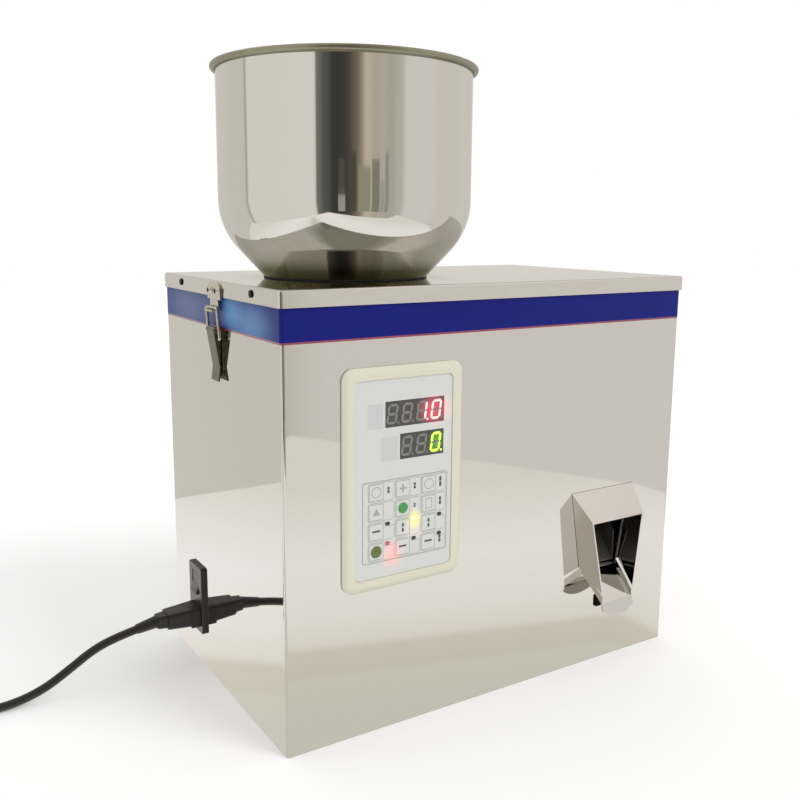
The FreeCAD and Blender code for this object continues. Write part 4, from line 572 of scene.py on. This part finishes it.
# Painted dark reflection: the lid's colour is greyed within 100 mm of the bowl's axis, where the lid
# mirrors the bowl's dark underside.
LID_PAINTED_DARK_REFLECTION = [((BOWL_X, 0, LID_TOP), (100, 100, 0), "#85826f", 9.0)]
spotted(lid_sheet, LID_PAINTED_DARK_REFLECTION)

# %% Dull inner side of the cabinet's sheet
# Only the outer side of the sheet is polished. Its inner side keeps the dull mill finish, so the
# finish changes half a millimetre inside the cabinet's outer faces, this far from its middle.
POLISHED_PAST = (189.5, 115.5, 0)
tree, found = open_finish(cabinet_sheet)
aside = add_node(tree, "ShaderNodeVectorMath", {"operation": "ABSOLUTE"},
                 {0: found["TEX_COORD"].outputs["Object"]})
past = add_node(tree, "ShaderNodeVectorMath",
                {"operation": "SUBTRACT", 1: tuple(Vector(POLISHED_PAST) * MM)},
                {0: aside.outputs["Vector"]})
split = add_node(tree, "ShaderNodeSeparateXYZ", links={"Vector": past.outputs["Vector"]})
outer = add_node(tree, "ShaderNodeMath", {"operation": "MAXIMUM"},
                 {0: split.outputs["X"], 1: split.outputs["Y"]})
polished = add_node(tree, "ShaderNodeMath", {"operation": "GREATER_THAN", 1: 0.0},
                    {0: outer.outputs["Value"]})
for socket, inside, outside in (("Metallic", 0.45, 1.0), ("Roughness", 0.45, POLISH_ROUGHNESS)):
    level = add_node(tree, "ShaderNodeMapRange", {"To Min": inside, "To Max": outside},
                     {"Value": polished.outputs["Value"]})
    tree.links.new(level.outputs["Result"], found["BSDF_PRINCIPLED"].inputs[socket])

# %% Plain sheet finishes
plain_sheet = patterned("mill_finish_sheet", "#c4c3bf", "#b8b7b3", 0.6, 0.42, 0.7, (12, 1, 1), 0.1)
galvanised = patterned("galvanised_sheet", "#c5c9cc", "#a9aeb2", 0.55, 0.38, 7.0, lift=0.15,
                       kind="ShaderNodeTexVoronoi")
# The inner chute's steel is painted dark grey: painted shade for its enclosed inside.
chute_painted_shade = patterned("chute_steel_painted_dark", "#5e5d52", "#514f46", 0.3, 0.5, 1.5, lift=0.15)
case_sheet = patterned("anodised_supply_case", "#b9bcc0", "#adb0b4", 0.6, 0.35, 0.6, (8, 1, 1), 0.1)
print("sheet finishes made")

# %% [markdown]
# ## Metals of the mechanism and the fittings
# Pressed latch parts are bright nickel over steel. The feeder's block is cast iron under grey
# hammered paint, its leaf springs are blued, and the load cell is milled aluminium with fine
# cutter lines along it.

# %% Metal finishes
nickel = patterned("nickel_plated_pressing", "#c6c1b6", "#b5afa3", 1.0, 0.16, 2.5, lift=0.12)
weathered_zinc = patterned("weathered_zinc_pressing", "#726d5f", "#5f5a4d", 1.0, 0.27, 3.0,
                           lift=0.15)
bright_wire = patterned("bright_drawn_wire", "#bfbbb0", "#a8a498", 1.0, 0.2, 0.8, lift=0.1)
hammered_paint = patterned("hammered_grey_paint", "#565a5e", "#44484c", 0.2, 0.38, 3.0, lift=0.9,
                           kind="ShaderNodeTexVoronoi")
blued_spring = patterned("blued_spring_steel", "#4a505e", "#3a3f4d", 1.0, 0.3, 0.6, (1, 1, 14))
milled_alloy = patterned("milled_aluminium", "#d4d5d6", "#c2c3c5", 1.0, 0.28, 0.5, (1, 16, 1), 0.25)
laminations = patterned("laminated_core_steel", "#77767a", "#4f4e52", 0.9, 0.45, 0.6, (20, 1, 20),
                        0.5)
tinned_brass = patterned("tinned_contact_brass", "#d9d3bd", "#c7bfa4", 1.0, 0.22, 1.0)
print("metal finishes made")


# %% [markdown]
# ## The spun bowl
# The bowl is one disc of steel, spun over a form and then rolled outwards at its rim. Turning
# one profile through a full circle is how the real one is made, so it is spun here too. The
# profile is drawn the way a turner draws it: straight lines are extruded from the last point,
# and each curve is that point swept about the curve's centre. The bowl stands for the CAD bowl,
# whose facets would show in a mirror finish.

# %% Bowl profile
BOWL_WALL = 1.0
RIM_R = 2.4
RIM_CENTRE = (103.0, 495.2)
WAIST_R = 101.2
KNUCKLE_R = 57.5
LEAN_DEG = 47.0
SEAT_R = 65.3
NECK_R = 28.0
NECK_Z = 281.0
KNUCKLE_X = WAIST_R - KNUCKLE_R
SLOPE = math.tan(math.radians(LEAN_DEG))
TOUCH_Z = LID_TOP + (KNUCKLE_X + KNUCKLE_R * math.sin(math.radians(LEAN_DEG)) - SEAT_R) * SLOPE
KNUCKLE_Z = TOUCH_Z + KNUCKLE_R * math.cos(math.radians(LEAN_DEG))
CORNER_Z = LID_TOP - (SEAT_R - NECK_R) * SLOPE


def line_to(bm, last, r, z):
    """Draws a straight line of the profile from the last point."""
    new = bmesh.ops.extrude_vert_indiv(bm, verts=[last])["verts"][0]
    new.co = Vector((BOWL_X + r, 0, z)) * MM
    return new


def arc_from(bm, last, centre_r, centre_z, degrees, steps):
    """Draws a curve of the profile by sweeping the last point about a centre."""
    swept = bmesh.ops.spin(bm, geom=[last], cent=Vector((BOWL_X + centre_r, 0, centre_z)) * MM,
                           axis=(0, 1, 0), angle=math.radians(degrees), steps=steps)
    return [item for item in swept["geom_last"] if isinstance(item, bmesh.types.BMVert)][0]


bm = bmesh.new()
first = bm.verts.new(Vector((BOWL_X + NECK_R, 0, NECK_Z)) * MM)
last = line_to(bm, first, NECK_R, CORNER_Z)
last = line_to(bm, last, KNUCKLE_X + KNUCKLE_R * math.sin(math.radians(LEAN_DEG)), TOUCH_Z)
last = arc_from(bm, last, KNUCKLE_X, KNUCKLE_Z, LEAN_DEG - 90, 24)
last = line_to(bm, last, WAIST_R, RIM_CENTRE[1])
last = line_to(bm, last, WAIST_R - BOWL_WALL, RIM_CENTRE[1])
last = line_to(bm, last, WAIST_R - BOWL_WALL, KNUCKLE_Z)
last = arc_from(bm, last, KNUCKLE_X, KNUCKLE_Z, 90 - LEAN_DEG, 24)
inner_corner_z = CORNER_Z + BOWL_WALL * math.tan(math.radians(LEAN_DEG / 2))
last = line_to(bm, last, NECK_R - BOWL_WALL, inner_corner_z)
last = line_to(bm, last, NECK_R - BOWL_WALL, NECK_Z)
bm.edges.new((last, first))
print("bowl profile points", len(bm.verts), "knuckle at", round(KNUCKLE_Z, 1))

# %% Spin the bowl
SPIN_STEPS = 180


def spin_full(bm):
    """Turns a profile through a full circle about the bowl's axis."""
    bmesh.ops.spin(bm, geom=bm.verts[:] + bm.edges[:], cent=Vector((BOWL_X, 0, 0)) * MM,
                   axis=(0, 0, 1), angle=2 * math.pi, steps=SPIN_STEPS, use_merge=True)
    bmesh.ops.remove_doubles(bm, verts=bm.verts, dist=0.001 * MM)
    bmesh.ops.recalc_face_normals(bm, faces=bm.faces)


spin_full(bm)
bowl_mesh = bm


def spun_ring(name, radius, height, tube_r, material):
    """Ring about the bowl's axis, from a circle carried round it."""
    ring = bmesh.new()
    place = Matrix.Translation(Vector((BOWL_X + radius, 0, height)) * MM)
    bmesh.ops.create_circle(ring, segments=24, radius=tube_r * MM,
                            matrix=place @ Matrix.Rotation(math.pi / 2, 4, "X"))
    spin_full(ring)
    return finish_piece(name, ring, material, "lid")


# %% Bowl finish
# Spinning leaves rings a fraction of a millimetre apart, so the pattern follows the height and
# the distance from the bowl's axis. They are drawn 1.2 mm apart to show at all. The cone is
# painted grey near its foot: painted shade where it meets the lid.
RING_PITCH = 1.2
CONE_FOOT_PAINTED_SHADE = [((0, 0, LID_TOP), (0, 0, 20), "#87836f", 0.85)]
bowl_steel, tree, shader, place = start_material("spun_polished_steel", "#cac8c3", 1.0, 0.035)
centred = add_node(tree, "ShaderNodeMapping", {"Location": (-BOWL_X * MM, 0, 0)}, {"Vector": place})
split = add_node(tree, "ShaderNodeSeparateXYZ", links={"Vector": centred.outputs["Vector"]})
flat = add_node(tree, "ShaderNodeCombineXYZ", links={"X": split.outputs["X"],
                                                     "Y": split.outputs["Y"]})
reach = add_node(tree, "ShaderNodeVectorMath", {"operation": "LENGTH"},
                 {0: flat.outputs["Vector"]})
run = add_node(tree, "ShaderNodeMath", {"operation": "ADD"},
               {0: reach.outputs["Value"], 1: split.outputs["Z"]})
scaled = add_node(tree, "ShaderNodeMath", {"operation": "MULTIPLY", 1: 1 / (RING_PITCH * MM)},
                  {0: run.outputs["Value"]})
rings = add_node(tree, "ShaderNodeTexNoise", {"noise_dimensions": "1D", "Scale": 1.0,
                                              "Detail": 2.0}, {"W": scaled.outputs["Value"]})
ring_bump = add_node(tree, "ShaderNodeBump", {"Strength": 0.04, "Distance": 0.05 * MM},
                     {"Height": rings.outputs["Fac"]})
ring_dull = add_node(tree, "ShaderNodeMapRange", {"To Min": 0.02, "To Max": 0.07},
                     {"Value": rings.outputs["Fac"]})
ring_tone = add_node(tree, "ShaderNodeMix",
                     {"data_type": "RGBA", 6: colour("#cac8c3"), 7: colour("#c8c6c1")},
                     {0: rings.outputs["Fac"]})
# Painted shade at the cone's foot.
painted_foot_tone, _ = soft_spots(tree, place, ring_tone.outputs[2], CONE_FOOT_PAINTED_SHADE)
tree.links.new(painted_foot_tone, shader.inputs["Base Color"])
tree.links.new(ring_bump.outputs["Normal"], shader.inputs["Normal"])
tree.links.new(ring_dull.outputs["Result"], shader.inputs["Roughness"])

# %% Bowl, rolled rim and seal
# The roller leaves the rim duller than the polished wall, and its darker, greener colour is
# painted shade for the dark it mirrors under its lip. A thin black seal fills the
# joint between the bowl and the lid, and reads as the dark line round the bowl's foot.
rim_steel_painted_dark = patterned("rolled_rim_steel_painted_dark", "#949180", "#8b8877", 1.0, 0.35, 6.0, lift=0.03)
bowl = finish_piece("spun_bowl", bowl_mesh, bowl_steel, "lid", ["hopper_bowl"], 50)
rim = spun_ring("rolled_rim", RIM_CENTRE[0], RIM_CENTRE[1], RIM_R, rim_steel_painted_dark)
seal = spun_ring("bowl_seal", SEAT_R + 0.5, LID_TOP + 0.4, 0.75, mount_rubber)
print("bowl faces", len(bowl.data.polygons), "rim faces", len(rim.data.polygons))


# %% [markdown]
# ## Stripe
# The stripe is self-adhesive vinyl film: deep blue, with a narrow line of dark red film along its
# lower edge. The blue is a satin film that looks paler where the light glances off it, which a
# pale sheen gives, and the red line has a clear, glossy skin. The adhesive leaves both with a
# slight orange peel.

# %% Stripe finishes
blue_film = patterned("blue_vinyl_film", "#161d7b", "#141b73", 0.0, 0.35, 3.0, lift=0.08,
                      Specular_IOR_Level=0.1, Sheen_Weight=1.0, Sheen_Roughness=0.3,
                      Sheen_Tint=colour("#9fd0ff"))
# Pale blue spots beside the latch are painted glare: light glancing off the film, painted into its
# colour.
LATCH_SIDE_PAINTED_GLARE = [((-192, 62, 310), (6, 80, 30), "#8185a0", 0.65),
        ((-192, 12, 310), (6, 34, 26), "#6d7596", 0.5),
        ((-192, -66, 306), (6, 56, 28), "#6f9ccf", 0.85),
        ((-192, -30, 312), (6, 34, 22), "#74b4ea", 0.7)]
spotted(blue_film, LATCH_SIDE_PAINTED_GLARE)
red_film = patterned("red_vinyl_film", "#8f2a48", "#84243f", 0.0, 0.3, 3.0, lift=0.08,
                     Coat_Weight=1.0, Coat_Roughness=0.08)
print("stripe finishes made")


# %% [markdown]
# ## Control panel
# The bezel is cream ABS with a soft satin texture, and the keypad is one printed film let into
# it. Two lamps are lit behind the film, and the red display glows onto it. The film scatters
# that light, so its finish has soft spots of colour at known places: each spot fades out from
# its centre, and it colours the film and lights it a little.

# %% Film finish with soft spots of light
GLOW_LIGHT = 0.45
GLOWS = [((-85.6, 0, 161.0), (9.5, 0, 12.0), "#ffee7a", 0.75),
         ((-85.8, 0, 153.0), (13.0, 0, 11.0), "#ffd9cc", 0.25),
         ((-104.5, 0, 138.0), (14.0, 0, 16.0), "#ff9a9a", 0.6),
         ((-66.0, 0, 243.0), (21.0, 0, 17.0), "#ffa6a6", 0.6),
         ((-66.0, 0, 218.5), (12.0, 0, 12.0), "#dcf5c0", 0.25)]


def lit_film(name, code, other, glows):
    """Printed polyester film that scatters the light of the lamps behind it."""
    material = patterned(name, code, other, 0.0, 0.36, 0.6, lift=0.12, spread=0.04, IOR=1.5)
    tree, found = open_finish(material)
    shader = found["BSDF_PRINCIPLED"]
    base, fade = spotted(material, glows)
    soft = add_node(tree, "ShaderNodeMath", {"operation": "MULTIPLY", 1: GLOW_LIGHT}, {0: fade})
    tree.links.new(base, shader.inputs["Emission Color"])
    tree.links.new(soft.outputs["Value"], shader.inputs["Emission Strength"])
    return material


panel_film = lit_film("printed_polyester_film", "#dcddd8", "#d6d7d2", GLOWS)
cream_abs = patterned("cream_abs", "#e2dfcd", "#dcd8c4", 0.0, 0.38, 0.8, lift=0.2, spread=0.05,
                      IOR=1.54)
bezel = eased_copy("control_bezel", 0.5, cream_abs, segments=3)
print("bezel faces", len(bezel.data.polygons))


# %% [markdown]
# ## Flat printed marks
# Print and display segments are thin flat shapes. A tile is a grid of one face with its corners
# bevelled, a disc is a filled circle, and a ring is either of them inset with its middle taken
# out. Each is made lying flat, given the thickness of a layer of ink, and then stood up on the
# panel. Many of them share one mesh, because print is one thing.

# %% Flat shapes
PANEL_Y = -118.6
KEY_Y = -118.8
INK_T = 0.05
STAND_UP = Matrix.Rotation(math.pi / 2, 4, "X")


def on_panel(x, y, z, lean=0.0, turn=0.0):
    """Where a flat shape goes: turned in its own plane, leaned, stood up and moved."""
    sheared = Matrix.Identity(4)
    sheared[0][1] = lean
    return (Matrix.Translation(Vector((x, y, z)) * MM) @ STAND_UP @ sheared
            @ Matrix.Rotation(math.radians(turn), 4, "Z"))


def print_shape(bm, face, place, thick, line=0.0):
    """Gives a flat face its thickness and place; with a line width it becomes a ring."""
    faces = [face]
    if line:
        faces = bmesh.ops.inset_region(bm, faces=[face], thickness=line * MM, use_boundary=True,
                                       use_even_offset=True)["faces"]
        bmesh.ops.delete(bm, geom=[face], context="FACES_ONLY")
    flat_verts = {vert for item in faces for vert in item.verts}
    raised = bmesh.ops.extrude_face_region(bm, geom=faces)["geom"]
    top = [item for item in raised if isinstance(item, bmesh.types.BMVert)]
    bmesh.ops.translate(bm, vec=(0, 0, thick * MM), verts=top)
    bmesh.ops.transform(bm, matrix=place, verts=list(flat_verts | set(top)))
    return [item for item in raised if isinstance(item, bmesh.types.BMFace)]


def tile(bm, width, height, corner, place, thick=INK_T, line=0.0, steps=4):
    """Rectangle with rounded corners, or pointed ones where the corner takes half its height."""
    size = Matrix.Diagonal((width * MM, height * MM, 1, 1))
    verts = bmesh.ops.create_grid(bm, x_segments=1, y_segments=1, size=0.5, matrix=size)["verts"]
    face = verts[0].link_faces[0]
    if corner:
        cut = bmesh.ops.bevel(bm, geom=verts, offset=corner * MM, offset_type="OFFSET",
                              segments=steps, profile=0.5, affect="VERTICES",
                              clamp_overlap=True, material=-1)
        face = cut["verts"][0].link_faces[0]
    return print_shape(bm, face, place, thick, line)


def disc(bm, radius, place, thick=INK_T, line=0.0, segments=28):
    """Filled circle, or a ring of a line width."""
    verts = bmesh.ops.create_circle(bm, cap_ends=True, segments=segments, radius=radius * MM)["verts"]
    return print_shape(bm, verts[0].link_faces[0], place, thick, line)


def finish_print(name, bm, material, body, replaced=()):
    """Print and segments as one piece, with its faces turned outwards."""
    bmesh.ops.remove_doubles(bm, verts=bm.verts, dist=0.001 * MM)
    bmesh.ops.recalc_face_normals(bm, faces=bm.faces)
    return finish_piece(name, bm, material, body, replaced)


# %% [markdown]
# ## Displays
# A display module is a block of grey epoxy with seven segments to a digit, nearly 15 mm high over
# its bars and leaning by eight degrees. Segments that are off still show, a little paler than the
# face. The red one reads 1.0 on its last two digits and the green one reads 0 with its point.

# %% Segments
DIGIT_H = 12.9
DIGIT_W = 7.0
BAR = 1.85
BAR_GAP = 0.4
BAR_T = 0.08
POINT_R = 0.85
POINT_ASIDE = 1.4
POINT_BELOW = 0.2
DIGIT_SHIFT = -0.5
LEAN_X = math.tan(math.radians(8))
# Each bar: its middle as a share of the digit's half width and half height, and its turn.
BARS = {"a": (0, 1, 0), "b": (1, 0.5, 90), "c": (1, -0.5, 90), "d": (0, -1, 0),
        "e": (-1, -0.5, 90), "f": (-1, 0.5, 90), "g": (0, 0, 0)}
DIGITS = {"0": "abcdef", "1": "bc", None: ""}
DISPLAYS = {"red": ("red_display", 4, {2: "1", 3: "0"}, 2),
            "green": ("green_display", 3, {2: "0"}, 2)}

unlit_bars = bmesh.new()
lit_bars = {"red": bmesh.new(), "green": bmesh.new()}
for tint, (node_name, count, lit_digits, point_at) in DISPLAYS.items():
    low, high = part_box(node_name)
    face_y = low[1] / MM
    pitch = (high[0] - low[0]) / MM / count
    middle_z = (low[2] + high[2]) / 2 / MM
    for index in range(count):
        middle_x = low[0] / MM + pitch * (index + 0.5) + DIGIT_SHIFT
        lit = DIGITS[lit_digits.get(index)]
        for bar, (aside, above, turn) in BARS.items():
            target = lit_bars[tint] if bar in lit else unlit_bars
            length = (DIGIT_H / 2 if turn else DIGIT_W) - BAR_GAP
            rise = above * DIGIT_H / 2
            place = on_panel(middle_x + aside * DIGIT_W / 2 + LEAN_X * rise, face_y,
                             middle_z + rise, LEAN_X, turn)
            tile(target, length, BAR, BAR / 2 - 0.02, place, BAR_T, steps=1)
        target = lit_bars[tint] if index == point_at else unlit_bars
        spot = on_panel(middle_x + DIGIT_W / 2 + POINT_ASIDE, face_y,
                        middle_z - DIGIT_H / 2 - POINT_BELOW)
        disc(target, POINT_R, spot, BAR_T, segments=16)
print("segments drawn")

# %% Display finishes and pieces
smoked_face = patterned("grey_epoxy_face", "#494b49", "#414341", 0.0, 0.3, 1.5, lift=0.08, IOR=1.5)
unlit_bar = patterned("unlit_segment_epoxy", "#85857f", "#7b7b76", 0.0, 0.35, 1.0, lift=0.05)
lit_bar = {tint: patterned("lit_%s_segment" % tint, code, code, 0.0, 0.4, 1.0, lift=0.02,
                           Emission_Color=colour(code), Emission_Strength=1.0)
           for tint, code in (("red", "#ffb9b4"), ("green", "#ccff4d"))}
finish_print("unlit_segments", unlit_bars, unlit_bar, "cabinet")
for tint, bars in lit_bars.items():
    finish_print("lit_%s_segments" % tint, bars, lit_bar[tint], "cabinet")

# A lit digit also lights the epoxy round it, so the face has the same kind of spots.
red_face = lit_film("red_lit_epoxy_face", "#4c4a49", "#444241",
                    [((-70.0, 0, 243.0), (18.0, 0, 17.0), "#d24a60", 0.9)])
green_face = lit_film("green_lit_epoxy_face", "#4a4c4a", "#424442",
                      [((-66.6, 0, 218.4), (8.8, 0, 12.0), "#4f9a1e", 0.95)])
print("display pieces made")


# %% [markdown]
# ## Keypad print
# The film carries a grey frame round the keypad, a small square with a plain sign on each key,
# and short dark bars where the real film has words. The words themselves are left out. The
# signs ride on their own keys, so they move when a key is pressed.

# %% Ink finishes
dark_ink, line_ink, pale_ink = (
    patterned(name, code, other, 0.0, 0.5, 0.4, lift=0.05)
    for name, code, other in (("dark_grey_ink", "#4c4f4d", "#454846"),
                              ("grey_line_ink", "#a7ada8", "#9fa5a0"),
                              ("pale_patch_ink", "#cfd1d0", "#cacccb")))
green_ink = patterned("green_ink", "#4f9a57", "#478f50", 0.0, 0.45, 0.4, lift=0.05)
# The spot under the lit red lamp is green print with the lamp's red glow painted over it, so it reads
# brownish.
red_glow_on_green_ink = patterned("painted_red_glow_on_green_ink", "#6d5a3c", "#5d7a3f", 0.0, 0.45, 2.0, lift=0.05)

# %% Print on the film
ink = bmesh.new()
tile(ink, 73.4, 61.4, 2.0, on_panel(-93.3, PANEL_Y, 164.6), line=0.7)
finish_print("keypad_frame_print", ink, line_ink, "cabinet")
ink = bmesh.new()
tile(ink, 12.7, 18.1, 0.6, on_panel(-119.2, PANEL_Y, 242.6))
tile(ink, 14.0, 17.4, 0.6, on_panel(-107.3, PANEL_Y, 217.7))
finish_print("word_patches_print", ink, pale_ink, "cabinet")

# %% Signs on the keys
SIGNS = {"key_r1_c1": "ring", "key_r1_c2": "plus", "key_r1_c3": "ring", "key_r2_c1": "up",
         "key_r2_c2": "green", "key_r2_c3": "window", "key_r3_c1": "dash", "key_r3_c2": "bars",
         "key_r3_c3": "bars", "key_r4_c1": "brown", "key_r4_c2": "dash", "key_r4_c3": "dash"}
# Height in mm of the pair of dark bars beside a sign, where the real film has a word.
SIDE_BARS = {"key_r1_c1": 5.0, "key_r1_c2": 5.0, "key_r1_c3": 8.0, "key_r2_c2": 3.4,
             "key_r2_c3": 6.4, "key_r4_c3": 6.0}
FRAME_W = 12.0
FRAME_MARGIN = 0.6
SIGN_IN = 6.6
BARS_IN = 4.6
MARK_UP = 0.6
for key_name, sign in SIGNS.items():
    low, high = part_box(key_name)
    left = low[0] / MM
    key_w = (high[0] - low[0]) / MM
    key_h = (high[2] - low[2]) / MM
    sign_x = left + SIGN_IN
    sign_z = (low[2] + high[2]) / 2 / MM
    body = body_by_node[key_name]
    here = on_panel(sign_x, KEY_Y, sign_z)
    lines = bmesh.new()
    tile(lines, FRAME_W, key_h - 2 * FRAME_MARGIN, 0.8, here, line=0.45)
    if sign == "ring":
        disc(lines, 4.1, here, line=0.6)
    if sign == "window":
        tile(lines, 6.0, 8.0, 0.8, here, line=0.6)
    if sign == "plus":
        # One bar of the plus is a little thicker, so that their faces don't share a plane.
        tile(lines, 6.0, 1.3, 0.2, here)
        tile(lines, 1.3, 6.0, 0.2, here, 0.06)
    if sign == "up":
        disc(lines, 3.6, on_panel(sign_x, KEY_Y, sign_z - MARK_UP), segments=3)
    finish_print("line_print_" + key_name, lines, line_ink, body)
    if sign in ("green", "brown"):
        spot = bmesh.new()
        disc(spot, 4.2 if sign == "green" else 4.6, here)
        finish_print("spot_print_" + key_name, spot, green_ink if sign == "green" else red_glow_on_green_ink,
                     body)
    bars = bmesh.new()
    if sign == "dash":
        tile(bars, 6.6, 1.4, 0.3, on_panel(sign_x - 0.1, KEY_Y, sign_z + MARK_UP))
    if sign == "bars":
        for rise in (-2.0, 1.8):
            tile(bars, 1.7, 2.8, 0.3, on_panel(sign_x, KEY_Y, sign_z + rise))
    if key_name in SIDE_BARS:
        half = SIDE_BARS[key_name] / 2
        for rise in (-half / 2, half / 2):
            tile(bars, 1.9, half - 0.5, 0.3,
                 on_panel(left + key_w - BARS_IN, KEY_Y, sign_z + MARK_UP + rise))
    if bars.faces:
        finish_print("bar_print_" + key_name, bars, dark_ink, body)
    else:
        bars.free()
print("keys printed", len(SIGNS))

# %% [markdown]
# ## Lamp windows
# Six small oval windows sit between the keys of the two lower rows. Four are dark, one shines
# yellow and one red. Each is a rounded plate with a soft front edge, so it catches the light
# like a drop of clear resin.

# %% Lamp windows
LAMP_W = 3.9
LAMP_H = 2.7
LAMP_T = 0.35
LAMP_ROUND = 0.25
LAMP_ROWS = (147.3, 162.2)
LAMP_COLUMNS = (-108.7, -86.0, -63.3)
LIT_LAMPS = {(-86.0, 162.2): "yellow", (-108.7, 147.3): "red"}
dark_resin = patterned("dark_resin_window", "#2b2e2b", "#242724", 0.0, 0.2, 0.8, lift=0.05, IOR=1.5)
yellow_resin = patterned("lit_yellow_window", "#fff3a0", "#ffee7a", 0.0, 0.3, 1.5, lift=0.05,
                         Emission_Color=colour("#fff6a6"), Emission_Strength=1.0)
red_resin = patterned("lit_red_window", "#9a4a48", "#b05a55", 0.0, 0.3, 1.5, lift=0.05,
                      Emission_Color=colour("#d07068"), Emission_Strength=0.25)
windows = {"dark": bmesh.new(), "yellow": bmesh.new(), "red": bmesh.new()}
for z in LAMP_ROWS:
    for x in LAMP_COLUMNS:
        shapes = windows[LIT_LAMPS.get((x, z), "dark")]
        front = tile(shapes, LAMP_W, LAMP_H, 1.25, on_panel(x, PANEL_Y, z), LAMP_T, steps=5)
        bmesh.ops.bevel(shapes, geom=list(front[0].edges), offset=LAMP_ROUND * MM,
                        offset_type="OFFSET", segments=3, profile=0.5, affect="EDGES", material=-1)
resins = {"dark": dark_resin, "yellow": yellow_resin, "red": red_resin}
for index, (state, shapes) in enumerate(windows.items()):
    finish_print("%s_lamp_windows" % state, shapes, resins[state], "cabinet",
                 ["panel_leds"] if index == 0 else ())
print("lamp windows made")


# %% [markdown]
# ## Fittings with eased edges
# Bent sheet, pressed latches and moulded blocks all have small round edges that catch a line of
# light. The CAD solids are sharp, so these are copied with their edges eased by a few tenths
# of a millimetre, as a deburring wheel or a mould leaves them.

# %% Eased fittings
EASED = {"chute_hood": (0.35, cabinet_sheet), "chute_floor": (0.35, cabinet_sheet),
         "bag_sensor": (0.3, sensor_black), "inlet_module": (0.4, moulded_black),
         "rocker_switch": (0.5, moulded_black), "inlet_blades": (0.3, tinned_brass),
         "skirt_screws": (0.5, black_screw)}
for side in ("left", "right"):
    EASED["latch_catch_" + side] = (0.3, nickel)
    EASED["latch_base_" + side] = (0.25, weathered_zinc)
    EASED["latch_lever_" + side] = (0.3, weathered_zinc)
for node_name, (width, material) in EASED.items():
    eased_copy(node_name, width, material)
print("eased fittings", len(EASED))


# %% [markdown]
# The catch is held by two screws with a black socket in each head. A socket is a circle whose
# middle is inset and pushed in, so its rim keeps a fine edge that catches the light.

# %% Black sockets in the catch screws
HEAD_TOP = 195.2
SOCKET_R = 1.75
SOCKET_EDGE = 0.55
CATCH_SCREWS = [(-4.3 + side * 7.3, 326.6) for side in (-1, 1)]
for side, sign in (("left", -1), ("right", 1)):
    sockets = bmesh.new()
    for y, z in CATCH_SCREWS:
        place = (Matrix.Translation(Vector((sign * HEAD_TOP, y, z)) * MM)
                 @ Matrix.Rotation(sign * math.pi / 2, 4, "Y"))
        raised = disc(sockets, SOCKET_R, place, 0.25, segments=24)
        top = max(raised, key=lambda face: face.calc_area())
        bmesh.ops.inset_region(sockets, faces=[top], thickness=SOCKET_EDGE * MM)
        bmesh.ops.inset_region(sockets, faces=[top], thickness=0.1 * MM, depth=-0.2 * MM)
    finish_print("catch_screw_sockets_" + side, sockets, black_screw, "lid")
print("catch screws", 2 * len(CATCH_SCREWS))


# %% [markdown]
# ## Board and the other nodes
# The circuit board is green resist over copper: slightly glossy, with a pattern of tracks that
# a fine brick texture gives. Every other node keeps its CAD shape and gets the finish of what
# it is made from.

# %% Board finish
TRACK_PITCH = 12
board_resist, tree, shader, place = start_material("green_solder_resist", "#1f6b3a", 0.0, 0.3)
turned = add_node(tree, "ShaderNodeMapping", {"Rotation": (math.pi / 2, 0, 0)}, {"Vector": place})
tracks = add_node(tree, "ShaderNodeTexBrick",
                  {"Scale": 1 / (TRACK_PITCH * MM), "Color1": colour("#1f6b3a"),
                   "Color2": colour("#23753f"), "Mortar": colour("#3f9457"),
                   "Mortar Size": 0.03},
                  {"Vector": turned.outputs["Vector"]})
track_bump = add_node(tree, "ShaderNodeBump", {"Strength": 0.3, "Distance": 0.1 * MM},
                      {"Height": tracks.outputs["Fac"]})
tree.links.new(tracks.outputs["Color"], shader.inputs["Base Color"])
tree.links.new(track_bump.outputs["Normal"], shader.inputs["Normal"])

# %% Dress the nodes
by_slot = {"polished_steel": cabinet_sheet, "lid_steel": lid_sheet, "bowl_steel": bowl_steel,
           "plain_steel": plain_sheet, "galvanised_steel": galvanised, "zinc_steel": nickel,
           "steel_wire": bright_wire, "cast_block": hammered_paint, "spring_steel": blued_spring,
           "load_cell_alloy": milled_alloy, "core_steel": laminations,
           "mount_rubber": mount_rubber, "blue_vinyl": blue_film, "red_vinyl": red_film,
           "bezel_plastic": cream_abs, "overlay_film": panel_film, "key_film": panel_film,
           "display_plastic": smoked_face, "lamp_plastic": dark_resin, "board": board_resist,
           "black_plastic": moulded_black, "supply_case": case_sheet,
           "contact_metal": tinned_brass, "black_screw": black_screw, "cord_rubber": pvc_sheath}
for node_name, node in nodes.items():
    node.data.materials.clear()
    node.data.materials.append(by_slot[slot_by_node[node_name]])
# The inner chute takes its painted shade here.
nodes["inner_chute"].data.materials[0] = chute_painted_shade
nodes["red_display"].data.materials[0] = red_face
nodes["green_display"].data.materials[0] = green_face
print("nodes dressed", len(nodes))
